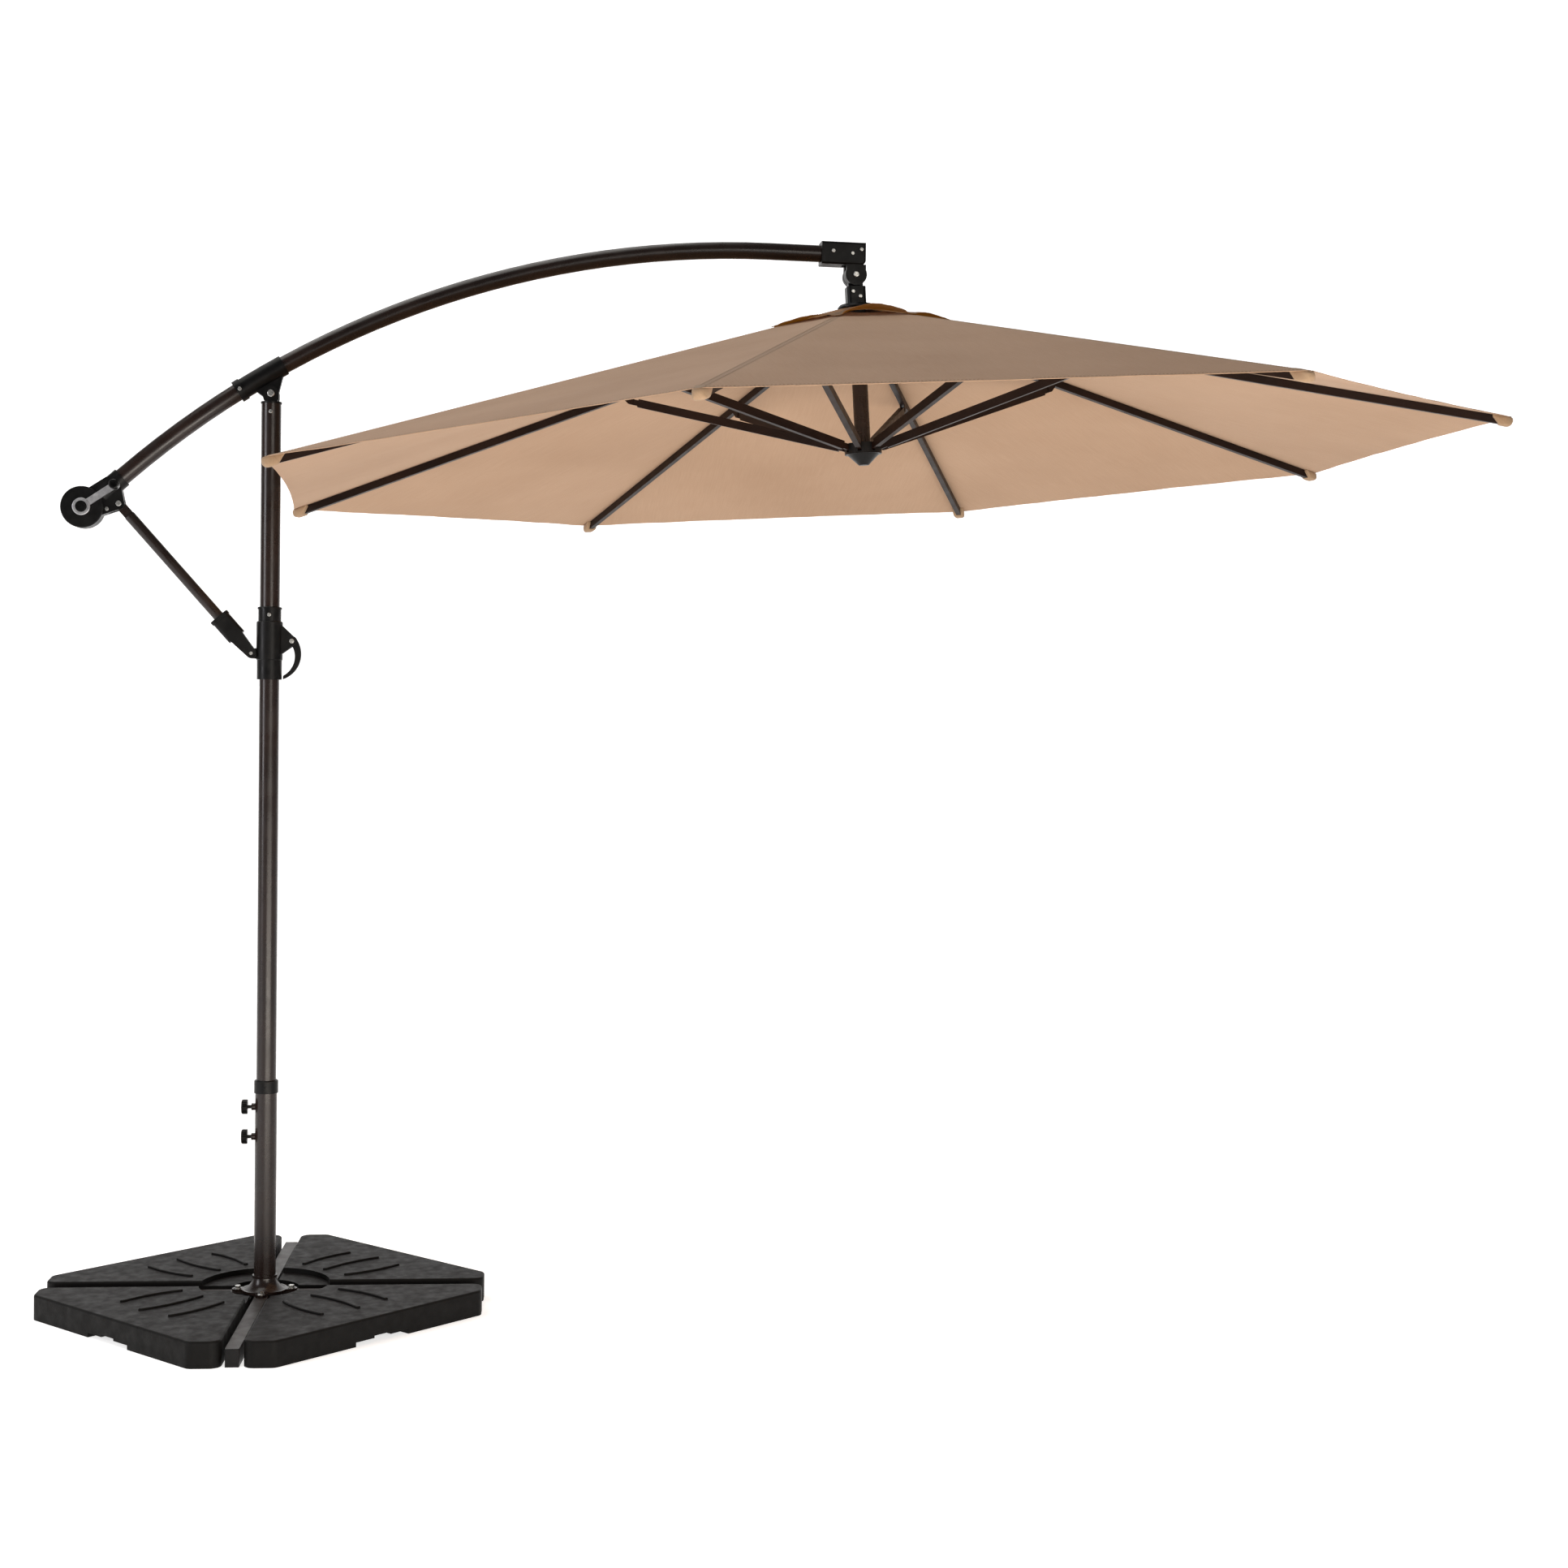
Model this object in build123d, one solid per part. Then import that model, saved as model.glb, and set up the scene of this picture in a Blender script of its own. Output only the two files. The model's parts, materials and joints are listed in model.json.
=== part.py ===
"""Offset patio umbrella: a tilting octagonal canopy hung from a curved arm on a swivelling mast,
with a sliding strut, a rope winch and a cross base held down by four moulded weights.

Millimetres. +Z is up, +X points from the mast to the canopy, the origin is on the floor at the
mast's axis. The canopy's own pieces are drawn in a frame whose origin is the tilt knuckle's axis.
"""
from build123d import *
from math import asin, atan2, cos, degrees, hypot, pi, radians, sin, sqrt, tan
import os

os.makedirs("parts", exist_ok=True)

# ---------------------------------------------------------------- clearances
RUNNING = 0.05  # radial gap of a pin turning in its bore
SEATED = 0.1  # radial gap of a tube or plug seated in its socket
SLIDING = 0.5  # gap each side of a tongue that swings between two cheeks
OPEN_GAP = 0.3  # gap between pieces of different bodies that lie close

# ---------------------------------------------------------------- overall layout
CANOPY_RADIUS = 1500.0  # canopy centre to a rib tip
HUB_REACH = 1405.0  # mast axis to the centre of the tip plane
TIP_HEIGHT = 2000.0  # floor to the centre of the tip plane
CANOPY_TILT = 3.7  # the mast side hangs lower by this angle
KNUCKLE_RISE = 470.0  # tip plane to the tilt knuckle, along the canopy's axis
RIBS = 8
PIVOT_Z = 2134.0  # arm pivot above the floor
CRANK_X = -420.0  # winch axis, from the arm pivot
CRANK_DROP = 275.0
STRUT_TOP_X = -340.0  # strut's upper pivot, from the arm pivot
STRUT_TOP_DROP = 264.0
SLIDER_PIVOT_X = -41.0  # strut's lower pivot on the slider
SLIDER_DROP = 602.0
BASE_TURN = -3.9  # the base stands turned by this angle under the arm
BAR_LENGTH = 1000.0  # each base bar, end to end

# ---------------------------------------------------------------- tubes
MAST_R = 22.5
POST_R = 25.0
ARM_R = 20.0
STRUT_R = 12.5
POLE_R = 19.0
TUBE_WALL = 1.5
RIB_WIDTH = 14.0
RIB_HEIGHT = 18.0
STRETCHER_WIDTH = 14.0
STRETCHER_HEIGHT = 20.0
THIN_WALL = 0.8

# ---------------------------------------------------------------- base
BAR_WIDTH = 30.0
BAR_HEIGHT = 40.0
CAP_THICKNESS = 4.0
WEIGHT_HEIGHT = 58.0
WEIGHT_REACH = 508.0  # mast axis to the cut-off corner of a weight
WEIGHT_GAP = 47.0  # slot between two weights, over a bar
WEIGHT_CORNER = 68.0  # length of the cut-off corner
WEIGHT_EDGE = 5.0  # rounding of the top edge
RECESS_R = 150.0
RECESS_DEPTH = 12.0
WELL_R = 80.0  # deeper well round the post flange
RIDGE_HEIGHT = 4.5
RIDGE_WIDTH = 11.0
RIDGE_START = 178.0  # along the weight's diagonal
RIDGE_LENGTH = 160.0
RIDGE_SPACING = 79.0
FOOT_RELIEF = 10.0  # height of the moulded relief under a weight
FLANGE_R = 52.0
FLANGE_T = 6.0
FLANGE_EAR_R = 13.0
FLANGE_BOLT_R = 62.0
TRUMPET_TOP = 78.0
BOLT_R = 4.0
POST_TOP = 530.0
COLLAR_R = 27.5
COLLAR_HEIGHT = 30.0
COLLAR_LIP = 6.0
KNOB_HEIGHTS = (403.0, 473.0)
KNOB_R = 17.0
KNOB_LENGTH = 14.0
KNOB_STANDOFF = 42.0
MAST_FOOT_Z = 235.0
PLUG_HEIGHT = 35.0

# ---------------------------------------------------------------- mast head and arm
MAST_TOP_Z = 2112.0
CAP_FLANGE_T = 4.0
CAP_PLUG = 40.0
EAR_R = 18.0
EAR_T = 8.0
WEB_T = 19.0
WEB_R = 16.0
PIVOT_BOLT_R = 5.0
ARM_BEND_R = 2217.0  # radius of the arm's centre line
ARM_TOP_Z = 2518.7  # height of the arm's level front part
ARM_LEVEL_X = 1168.0  # the bend ends here and the arm runs level
ARM_END_X = 1342.0
ARM_REAR_X = -372.0
SADDLE_FROM_X = -77.0
SADDLE_TO_X = 28.0
SADDLE_WALL = 3.5
SADDLE_COLLAR = 14.0
SADDLE_COLLAR_WALL = 6.0

# ---------------------------------------------------------------- elbow and tilt knuckle
ELBOW_FROM_X = 1290.0
ELBOW_HALF_HEIGHT = 27.0
ELBOW_HALF_WIDTH = 23.5  # half the width of the down-turned part, both ways
KNUCKLE_R = 26.0
TONGUE_T = 17.0
STEM_TOP = -27.5  # below the knuckle axis
STEM_BOTTOM = -70.0
STEM_FLANGE_R = 45.0
STEM_FLANGE_T = 8.0
TILT_BOLT_R = 4.0
PULLEY_R = 17.0
PULLEY_T = 10.0
PULLEY_RISE = 50.0
PULLEY_BACK = 9.0
PULLEY_PIN_R = 4.0

# ---------------------------------------------------------------- canopy frame
HUB_PIVOT_DROP = 94.0  # below the knuckle axis
HINGE_R = 34.0  # radius of the rib and stretcher pivots
HUB_R = 46.0
HUB_TOP_RISE = 7.0  # hub body above its pivots
HUB_DROP = 14.0  # hub body below its pivots
HUB_SLOT_R = 23.0
TONGUE_WIDTH = 8.0
RIVET_R = 3.0
RIVET_LENGTH = 14.0
RIB_TUBE_START = 28.0
RIB_SHORT = 12.0  # rib tip stops this far inside the canopy's tip
ATTACH_ALONG = 570.0  # hub pivot to the stretcher bracket, along the rib
BRACKET_DROP = 20.0  # stretcher pivot below the rib's centre line
BRACKET_LENGTH = 28.0
BRACKET_CHEEK = 2.0
STRETCHER_TUBE_START = 22.0
RUNNER_R = 45.0
RUNNER_TOP_RISE = 12.0
RUNNER_NOSE = 40.0
POLE_IN_RUNNER = 8.0  # pole end below the runner pivots
CLOTH = 1.5
CLOTH_RISE = 1.1  # cloth above the ribs
HEM_PULL = 12.0  # the hem is drawn in by this between two ribs
VENT_R = 222.0  # opening in the top of the canopy
VENT_CAP_R = 240.0
VENT_CAP_LIFT = 3.0

# ---------------------------------------------------------------- winch and crank
CASE_R = 46.0
CASE_HALF = 26.0
CASE_WALL = 4.0
COVER_R = 47.5
COVER_T = 4.0
NECK_HALF = 17.0
CLEVIS_EAR_R = 13.0
STRUT_TONGUE_T = 13.0
SPOOL_CORE_R = 16.0
SPOOL_FLANGE_R = 34.0
SPOOL_HALF = 17.0
SPOOL_FLANGE_T = 3.0
SHAFT_R = 6.0
CRANK_LENGTH = 90.0
CRANK_ANGLE = 34.6
CRANK_WIDTH = 16.0
CRANK_T = 5.0
CRANK_HUB_R = 20.0
CRANK_HUB_T = 7.0
HUB_CAP_R = 13.0
CRANK_KNOB_R = 11.0
CRANK_KNOB_LENGTH = 22.0
KNOB_PIN_R = 3.5

# ---------------------------------------------------------------- strut and slider
STRUT_TUBE_START = 34.0
FITTING_LENGTH = 62.0
FITTING_HALF_WIDTH = 22.0
FITTING_HALF_DEPTH = 17.0
FITTING_STANDOFF = 50.0  # wide part's distance from the lower pivot
FORK_END_R = 11.5
FORK_ROOT_R = 17.5
LUG_R = 11.5
LUG_T = 15.0
SLIDER_BORE_R = 25.6  # the strut swings the slider a little off the mast's axis
SLIDER_R = 28.4
SLIDER_BODY_R = 30.0
SLIDER_BELOW = 60.0
SLIDER_SLEEVE_TOP = -15.0
SLIDER_ABOVE = 75.0
STOP_COLLAR_R = 26.0
STOP_COLLAR_HEIGHT = 33.0
LEVER_PIVOT_X = 51.0
LEVER_PIVOT_RISE = 30.0  # above the strut's lower pivot
LEVER_T = 15.0
LEVER_HUB_R = 12.0
LEVER_OUT_X = 72.0
LEVER_IN_X = 58.0
LEVER_TIP_X = 31.5
LEVER_PIN_R = 3.5
PAD_WIDTH = 12.0
PAD_HEIGHT = 14.0

# ---------------------------------------------------------------- screws
SCREW_HEAD_R = 4.5
SCREW_HEAD_T = 2.0
SCREW_R = 2.0
SCREW_LENGTH = 3.0

MM = (Align.CENTER, Align.CENTER, Align.MIN)  # a round piece that starts at its own base

# ---------------------------------------------------------------- derived places
tilt = radians(CANOPY_TILT)
KNUCKLE_X = HUB_REACH - KNUCKLE_RISE * sin(tilt)
KNUCKLE_Z = TIP_HEIGHT + KNUCKLE_RISE * cos(tilt)
CANOPY = Location((KNUCKLE_X, 0, KNUCKLE_Z), (0, -CANOPY_TILT, 0))
BASE = Location((0, 0, 0), (0, 0, BASE_TURN))
CRANK = (CRANK_X, PIVOT_Z - CRANK_DROP)
STRUT_TOP = (STRUT_TOP_X, PIVOT_Z - STRUT_TOP_DROP)
STRUT_FOOT = (SLIDER_PIVOT_X, PIVOT_Z - SLIDER_DROP)
STRUT_LENGTH = hypot(STRUT_FOOT[0] - STRUT_TOP[0], STRUT_FOOT[1] - STRUT_TOP[1])
strut_dir = (
    (STRUT_FOOT[0] - STRUT_TOP[0]) / STRUT_LENGTH,
    (STRUT_FOOT[1] - STRUT_TOP[1]) / STRUT_LENGTH,
)
BEND_CENTRE = (ARM_LEVEL_X, ARM_TOP_Z - ARM_BEND_R)
rib_slope = atan2(KNUCKLE_RISE - HUB_PIVOT_DROP, CANOPY_RADIUS - HINGE_R)
RIB_LENGTH = hypot(KNUCKLE_RISE - HUB_PIVOT_DROP, CANOPY_RADIUS - HINGE_R) - RIB_SHORT
attach_slope = rib_slope + atan2(BRACKET_DROP, ATTACH_ALONG)
STRETCHER_LENGTH = hypot(ATTACH_ALONG, BRACKET_DROP)
RUNNER_PIVOT_DROP = HUB_PIVOT_DROP + 2 * STRETCHER_LENGTH * sin(attach_slope)
RIB_ANGLES = [180 / RIBS + 360 / RIBS * i for i in range(RIBS)]


# ---------------------------------------------------------------- small helpers
def save(shape, node):
    """One STEP file for one sub-part."""
    export_step(shape, f"parts/{node}.step")


def group(solids):
    """Separate solids kept in one node."""
    return Compound(children=[s.solid() if isinstance(s, Part) else s for s in solids])


def rod(start, axis, radius, length):
    """A round bar from a start point along an axis."""
    return Plane(origin=start, z_dir=axis) * Cylinder(radius, length, align=MM)


def tube(start, axis, outer, inner, length):
    """A round tube, open at both ends."""
    return rod(start, axis, outer, length) - rod(start, axis, inner, length)


def slab(sketch, y_from, y_to):
    """A flat piece: a sketch in the upright X-Z plane given a thickness along Y."""
    return Pos(0, y_to, 0) * extrude(Plane.XZ * sketch, amount=y_to - y_from)


def disc2(centre, radius):
    return Pos(*centre) * Circle(radius)


def hull(*circles):
    """The outline of several discs with a tight band round them."""
    edges = []
    for centre, radius in circles:
        edges += disc2(centre, radius).edges()
    return make_hull(edges)


def bar_box(x0, x1, y0, y1, z0, z1):
    return Pos(x0, y0, z0) * Box(x1 - x0, y1 - y0, z1 - z0, align=(Align.MIN,) * 3)


def screw(head_base, outward):
    """A round-headed screw: its head stands on a surface and its shank goes in."""
    inward = tuple(-c for c in outward)
    head = rod(head_base, outward, SCREW_HEAD_R, SCREW_HEAD_T)
    head = fillet(head.edges().sort_by(Axis(head_base, outward))[-1], SCREW_HEAD_T * 0.6)
    return head + rod(head_base, inward, SCREW_R, SCREW_LENGTH)


def screw_hole(head_base, outward):
    inward = tuple(-c for c in outward)
    return rod(head_base, inward, SCREW_R + RUNNING, SCREW_LENGTH + SEATED)


def arm_z(x):
    """Height of the arm's centre line."""
    if x >= ARM_LEVEL_X:
        return ARM_TOP_Z
    return BEND_CENTRE[1] + sqrt(ARM_BEND_R**2 - (x - BEND_CENTRE[0]) ** 2)


def arm_slope(x):
    """Angle of the arm's centre line above level."""
    return asin((ARM_LEVEL_X - x) / ARM_BEND_R) if x < ARM_LEVEL_X else 0.0


def arm_point(x, below=0.0):
    """A point under the arm's centre line, square to it."""
    slope = arm_slope(x)
    return (x + below * sin(slope), arm_z(x) - below * cos(slope))


def bent_round(x_from, x_to, radius):
    """A round bar that follows the arm's bend between two X places."""
    start = Plane(
        origin=(x_to, 0, arm_z(x_to)),
        z_dir=(cos(arm_slope(x_to)), 0, sin(arm_slope(x_to))),
    )
    turn = degrees(arm_slope(x_from) - arm_slope(x_to))
    axis = Axis((BEND_CENTRE[0], 0, BEND_CENTRE[1]), (0, -1, 0))
    return revolve(start * Circle(radius), axis, turn)


def at_strut(s, offset=0.0):
    """A point on the strut's line, from its top pivot."""
    return (
        STRUT_TOP[0] + strut_dir[0] * s - strut_dir[1] * offset,
        STRUT_TOP[1] + strut_dir[1] * s + strut_dir[0] * offset,
    )


def strut_plane(s):
    """Local x runs down the strut, local y is the row's Y."""
    x, z = at_strut(s)
    return Plane(
        origin=(x, 0, z),
        x_dir=(strut_dir[0], 0, strut_dir[1]),
        z_dir=(-strut_dir[1], 0, strut_dir[0]),
    )


# ---------------------------------------------------------------- base
def base_bar(upper_half):
    """A rectangular tube lying on the floor, notched half-way where the other bar crosses it."""
    half = BAR_LENGTH / 2 - CAP_THICKNESS
    bar = bar_box(-half, half, -BAR_WIDTH / 2, BAR_WIDTH / 2, 0, BAR_HEIGHT)
    hollow_w = BAR_WIDTH / 2 - TUBE_WALL
    bar -= bar_box(-half, half, -hollow_w, hollow_w, TUBE_WALL, BAR_HEIGHT - TUBE_WALL)
    notch = BAR_WIDTH / 2 + SEATED
    z0, z1 = (0, BAR_HEIGHT / 2 + SEATED) if upper_half else (BAR_HEIGHT / 2, BAR_HEIGHT)
    bar -= bar_box(-notch, notch, -BAR_WIDTH, BAR_WIDTH, z0, z1)
    for side in (-1, 1):
        bar -= rod(
            (side * FLANGE_BOLT_R, 0, BAR_HEIGHT - 2 * TUBE_WALL), (0, 0, 1), BOLT_R + SEATED, 9
        )
    return bar


def bar_cap():
    """Moulded end cap of a base bar, pointing along +X."""
    half = BAR_LENGTH / 2
    plate = bar_box(half - CAP_THICKNESS, half, -BAR_WIDTH / 2, BAR_WIDTH / 2, 0, BAR_HEIGHT)
    plate = fillet(plate.edges().filter_by(Axis.Z).sort_by(Axis.X)[-2:], CAP_THICKNESS / 2)
    plug_w = BAR_WIDTH / 2 - TUBE_WALL - SEATED
    plug = bar_box(
        half - CAP_THICKNESS - 14,
        half - CAP_THICKNESS,
        -plug_w,
        plug_w,
        TUBE_WALL + SEATED,
        BAR_HEIGHT - TUBE_WALL - SEATED,
    )
    return plate + plug


def ridge(offset):
    """A raised, gently bowed line on a weight; x runs along the weight's diagonal."""
    y0 = offset * RIDGE_SPACING
    x0, x1 = RIDGE_START, RIDGE_START + RIDGE_LENGTH - abs(offset) * 14
    bow = 9.0 if offset >= 0 else -9.0
    path = ThreePointArc((x0, y0), ((x0 + x1) / 2, y0 * 1.08 + bow), (x1, y0 * 1.16))
    face = SlotArc(path, RIDGE_WIDTH)
    line = extrude(Pos(0, 0, WEIGHT_HEIGHT) * face, amount=RIDGE_HEIGHT)
    return fillet(line.faces().sort_by(Axis.Z)[-1].edges(), RIDGE_HEIGHT * 0.6)


def weight(quarter):
    """One moulded weight filling the corner between two bars, in the first quadrant turned by quarters."""
    inner = WEIGHT_GAP / 2
    corner = inner + WEIGHT_CORNER
    outline = Polyline(
        (inner, inner),
        (WEIGHT_REACH, inner),
        (WEIGHT_REACH, corner),
        (corner, WEIGHT_REACH),
        (inner, WEIGHT_REACH),
        close=True,
    )
    body = extrude(make_face(outline), amount=WEIGHT_HEIGHT)
    uprights = body.edges().filter_by(Axis.Z).sort_by_distance((0, 0, WEIGHT_HEIGHT / 2))
    body = fillet(uprights[1:], 24)
    body = fillet(body.faces().sort_by(Axis.Z)[-1].edges(), WEIGHT_EDGE)
    body -= Pos(0, 0, WEIGHT_HEIGHT - RECESS_DEPTH) * Cylinder(RECESS_R, RECESS_DEPTH + 1, align=MM)
    body -= Pos(0, 0, BAR_HEIGHT - 2) * Cylinder(WELL_R, WEIGHT_HEIGHT, align=MM)
    middle = (WEIGHT_REACH + inner) / 2 + 12
    for reach, width in ((middle, 150.0), (middle + 10, 46.0)):
        deep = FOOT_RELIEF if width > 100 else FOOT_RELIEF + 5
        groove = Rot(0, 0, 45) * bar_box(reach / sqrt(2), 2 * reach, -width / 2, width / 2, -1, deep)
        body -= groove
    for offset in (-1, 0, 1):
        body += Rot(0, 0, 45) * ridge(offset)
    return Rot(0, 0, 90 * quarter) * body


def post_flange():
    """Flange and trumpet welded round the foot of the post, with an ear over each bar."""
    foot = BAR_HEIGHT
    plan = Circle(FLANGE_R)
    for k in range(4):
        ear = hull(((0, 0), FLANGE_EAR_R), ((FLANGE_BOLT_R, 0), FLANGE_EAR_R))
        plan += Rot(0, 0, 90 * k) * ear
    plate = extrude(Pos(0, 0, foot) * plan, amount=FLANGE_T)
    neck = POST_R + 2.0
    top = foot + FLANGE_T
    profile = make_face(
        [
            Line((0, top), (FLANGE_R - 4, top)),
            ThreePointArc(
                (FLANGE_R - 4, top),
                (neck + 6, top + 12),
                (neck, TRUMPET_TOP - 5),
            ),
            Line((neck, TRUMPET_TOP - 5), (neck + 1.5, TRUMPET_TOP - 5)),
            Line((neck + 1.5, TRUMPET_TOP - 5), (neck + 1.5, TRUMPET_TOP)),
            Line((neck + 1.5, TRUMPET_TOP), (0, TRUMPET_TOP)),
            Line((0, TRUMPET_TOP), (0, top)),
        ]
    )
    body = plate + revolve(Plane.XZ * profile, Axis.Z)
    body -= Pos(0, 0, foot + FLANGE_T / 2) * Cylinder(POST_R + SEATED / 2, TRUMPET_TOP, align=MM)
    for k in range(4):
        hole = rod((FLANGE_BOLT_R, 0, 0), (0, 0, 1), BOLT_R + SEATED, TRUMPET_TOP)
        body -= Rot(0, 0, 90 * k) * hole
    return body


def flange_bolt():
    """Hexagon bolt through the flange into a bar, over the +X bar."""
    top = BAR_HEIGHT + FLANGE_T
    washer = rod((FLANGE_BOLT_R, 0, top), (0, 0, 1), BOLT_R * 2.1, 1.6)
    head = extrude(Pos(FLANGE_BOLT_R, 0, top + 1.6) * RegularPolygon(7.0, 6), amount=5.3)
    head = chamfer(head.faces().sort_by(Axis.Z)[-1].edges(), 0.7)
    shank = rod((FLANGE_BOLT_R, 0, top - 12), (0, 0, 1), BOLT_R, 12)
    return washer + head + shank


def post():
    """Lower post: a tube that the mast stands in, with two nuts welded over its clamp-screw holes."""
    start = BAR_HEIGHT + FLANGE_T / 2
    body = tube((0, 0, start), (0, 0, 1), POST_R, POST_R - TUBE_WALL, POST_TOP - start)
    for z in KNOB_HEIGHTS:
        nut = rod((-POST_R + TUBE_WALL / 2, 0, z), (-1, 0, 0), 8.0, 9.0)
        body += nut
        body -= rod((-POST_R + 6, 0, z), (-1, 0, 0), BOLT_R + RUNNING, 20)
        body -= rod((0, 0, start), (0, 0, 1), POST_R - TUBE_WALL, POST_TOP)
    return body


def post_collar():
    """Moulded collar on the top of the post, whose lip steadies the mast."""
    start = POST_TOP + COLLAR_LIP - COLLAR_HEIGHT
    body = rod((0, 0, start), (0, 0, 1), COLLAR_R, COLLAR_HEIGHT)
    body = chamfer(body.faces().sort_by(Axis.Z)[-1].edges(), 2)
    body -= rod((0, 0, start), (0, 0, 1), POST_R + SEATED, POST_TOP - start)
    body -= rod((0, 0, start), (0, 0, 1), MAST_R + RUNNING, COLLAR_HEIGHT + 1)
    hole = (0, -COLLAR_R, start + COLLAR_HEIGHT * 0.6)
    return body - rod((0, -COLLAR_R - 1, hole[2]), (0, 1, 0), SCREW_R + RUNNING, 3)


def clamp_knob(z):
    """Hand knob whose screw bears on the mast and stops it turning."""
    grip = rod((-KNOB_STANDOFF, 0, z), (-1, 0, 0), KNOB_R, KNOB_LENGTH)
    grip = fillet(grip.faces().sort_by(Axis.X)[0].edges(), 4)
    flutes = 8
    for k in range(flutes):
        a = 2 * pi * k / flutes
        y, dz = (KNOB_R + 2.5) * cos(a), (KNOB_R + 2.5) * sin(a)
        grip -= rod((-KNOB_STANDOFF + 1, y, z + dz), (-1, 0, 0), 4.5, KNOB_LENGTH + 2)
    reach = KNOB_STANDOFF - MAST_R - OPEN_GAP
    return grip + rod((-KNOB_STANDOFF, 0, z), (1, 0, 0), BOLT_R, reach)


# ---------------------------------------------------------------- mast
def mast_tube():
    length = MAST_TOP_Z - MAST_FOOT_Z
    body = tube((0, 0, MAST_FOOT_Z), (0, 0, 1), MAST_R, MAST_R - TUBE_WALL, length)
    return body - screw_hole(mast_screw_places()[0], (0, -1, 0))


def mast_top_cap():
    """Plug in the top of the mast with two ears that carry the arm."""
    plug_r = MAST_R - TUBE_WALL - SEATED
    body = rod((0, 0, MAST_TOP_Z - CAP_PLUG), (0, 0, 1), plug_r, CAP_PLUG)
    body += rod((0, 0, MAST_TOP_Z), (0, 0, 1), MAST_R + 1.5, CAP_FLANGE_T)
    inner = WEB_T / 2 + SLIDING
    top = MAST_TOP_Z + CAP_FLANGE_T
    outline = hull(((0, PIVOT_Z), EAR_R), ((0, top + EAR_R * 0.6), EAR_R))
    outline &= Pos(0, top + 2 * EAR_R) * Rectangle(8 * EAR_R, 4 * EAR_R)
    for side in (-1, 1):
        y0, y1 = sorted((side * inner, side * (inner + EAR_T)))
        body += slab(outline, y0, y1)
    body -= screw_hole(mast_screw_places()[0], (0, -1, 0))
    return body - rod((0, -50, PIVOT_Z), (0, 1, 0), PIVOT_BOLT_R + SEATED, 100)


def headed_bolt(centre, radius, half_grip, head_r, head_t):
    """A cross bolt with a domed head each side, along Y."""
    x, z = centre
    body = rod((x, -half_grip, z), (0, 1, 0), radius, 2 * half_grip)
    for side in (-1, 1):
        head = rod((x, side * half_grip, z), (0, side, 0), head_r, head_t)
        body += fillet(head.edges().sort_by(Axis((x, 0, z), (0, side, 0)))[-1], head_t * 0.6)
    return body


def stop_collar():
    """Collar screwed to the mast that the slider comes up against."""
    z0 = STRUT_FOOT[1] + SLIDER_ABOVE + OPEN_GAP
    body = rod((0, 0, z0), (0, 0, 1), STOP_COLLAR_R, STOP_COLLAR_HEIGHT)
    flange = rod((0, 0, z0 + STOP_COLLAR_HEIGHT - 5), (0, 0, 1), STOP_COLLAR_R + 1.8, 5)
    body += chamfer(flange.faces().sort_by(Axis.Z)[-1].edges(), 1.5)
    body -= rod((0, 0, z0 - 1), (0, 0, 1), MAST_R + RUNNING, STOP_COLLAR_HEIGHT + 2)
    return body - screw_hole(mast_screw_places()[1], (0, -1, 0))


def mast_fasteners():
    """The arm's pivot bolt, and the screws of the top cap and the stop collar, as three pieces."""
    bolt = headed_bolt((0, PIVOT_Z), PIVOT_BOLT_R, WEB_T / 2 + SLIDING + EAR_T, 8.5, 4)
    return group([bolt] + [screw(place, (0, -1, 0)) for place in mast_screw_places()])


def mast_screw_places():
    collar_z = STRUT_FOOT[1] + SLIDER_ABOVE + STOP_COLLAR_HEIGHT * 0.45
    return ((0, -MAST_R, MAST_TOP_Z - CAP_PLUG / 2), (0, -STOP_COLLAR_R, collar_z))


# ---------------------------------------------------------------- arm
def arm_tube():
    bend = bent_round(ARM_REAR_X, ARM_LEVEL_X, ARM_R)
    bend -= bent_round(ARM_REAR_X, ARM_LEVEL_X, ARM_R - TUBE_WALL)
    level = tube(
        (ARM_LEVEL_X, 0, ARM_TOP_Z), (1, 0, 0), ARM_R, ARM_R - TUBE_WALL, ARM_END_X - ARM_LEVEL_X
    )
    return bend + level


def arm_saddle():
    """Sleeve that grips the arm, with a web down to the pivot at the mast's head."""
    outer = ARM_R + SADDLE_WALL
    body = bent_round(SADDLE_FROM_X, SADDLE_TO_X, outer)
    body += bent_round(SADDLE_FROM_X, SADDLE_FROM_X + SADDLE_COLLAR, ARM_R + SADDLE_COLLAR_WALL)
    web = hull(
        ((0, PIVOT_Z), WEB_R),
        (arm_point(SADDLE_FROM_X + 34, 2), 10),
        (arm_point(SADDLE_TO_X - 16, 6), 14),
    )
    body += slab(web, -WEB_T / 2, WEB_T / 2)
    body -= bent_round(SADDLE_FROM_X - 5, SADDLE_TO_X + 5, ARM_R + SEATED)
    body -= rod((0, -50, PIVOT_Z), (0, 1, 0), PIVOT_BOLT_R + RUNNING, 100)
    return body


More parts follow.
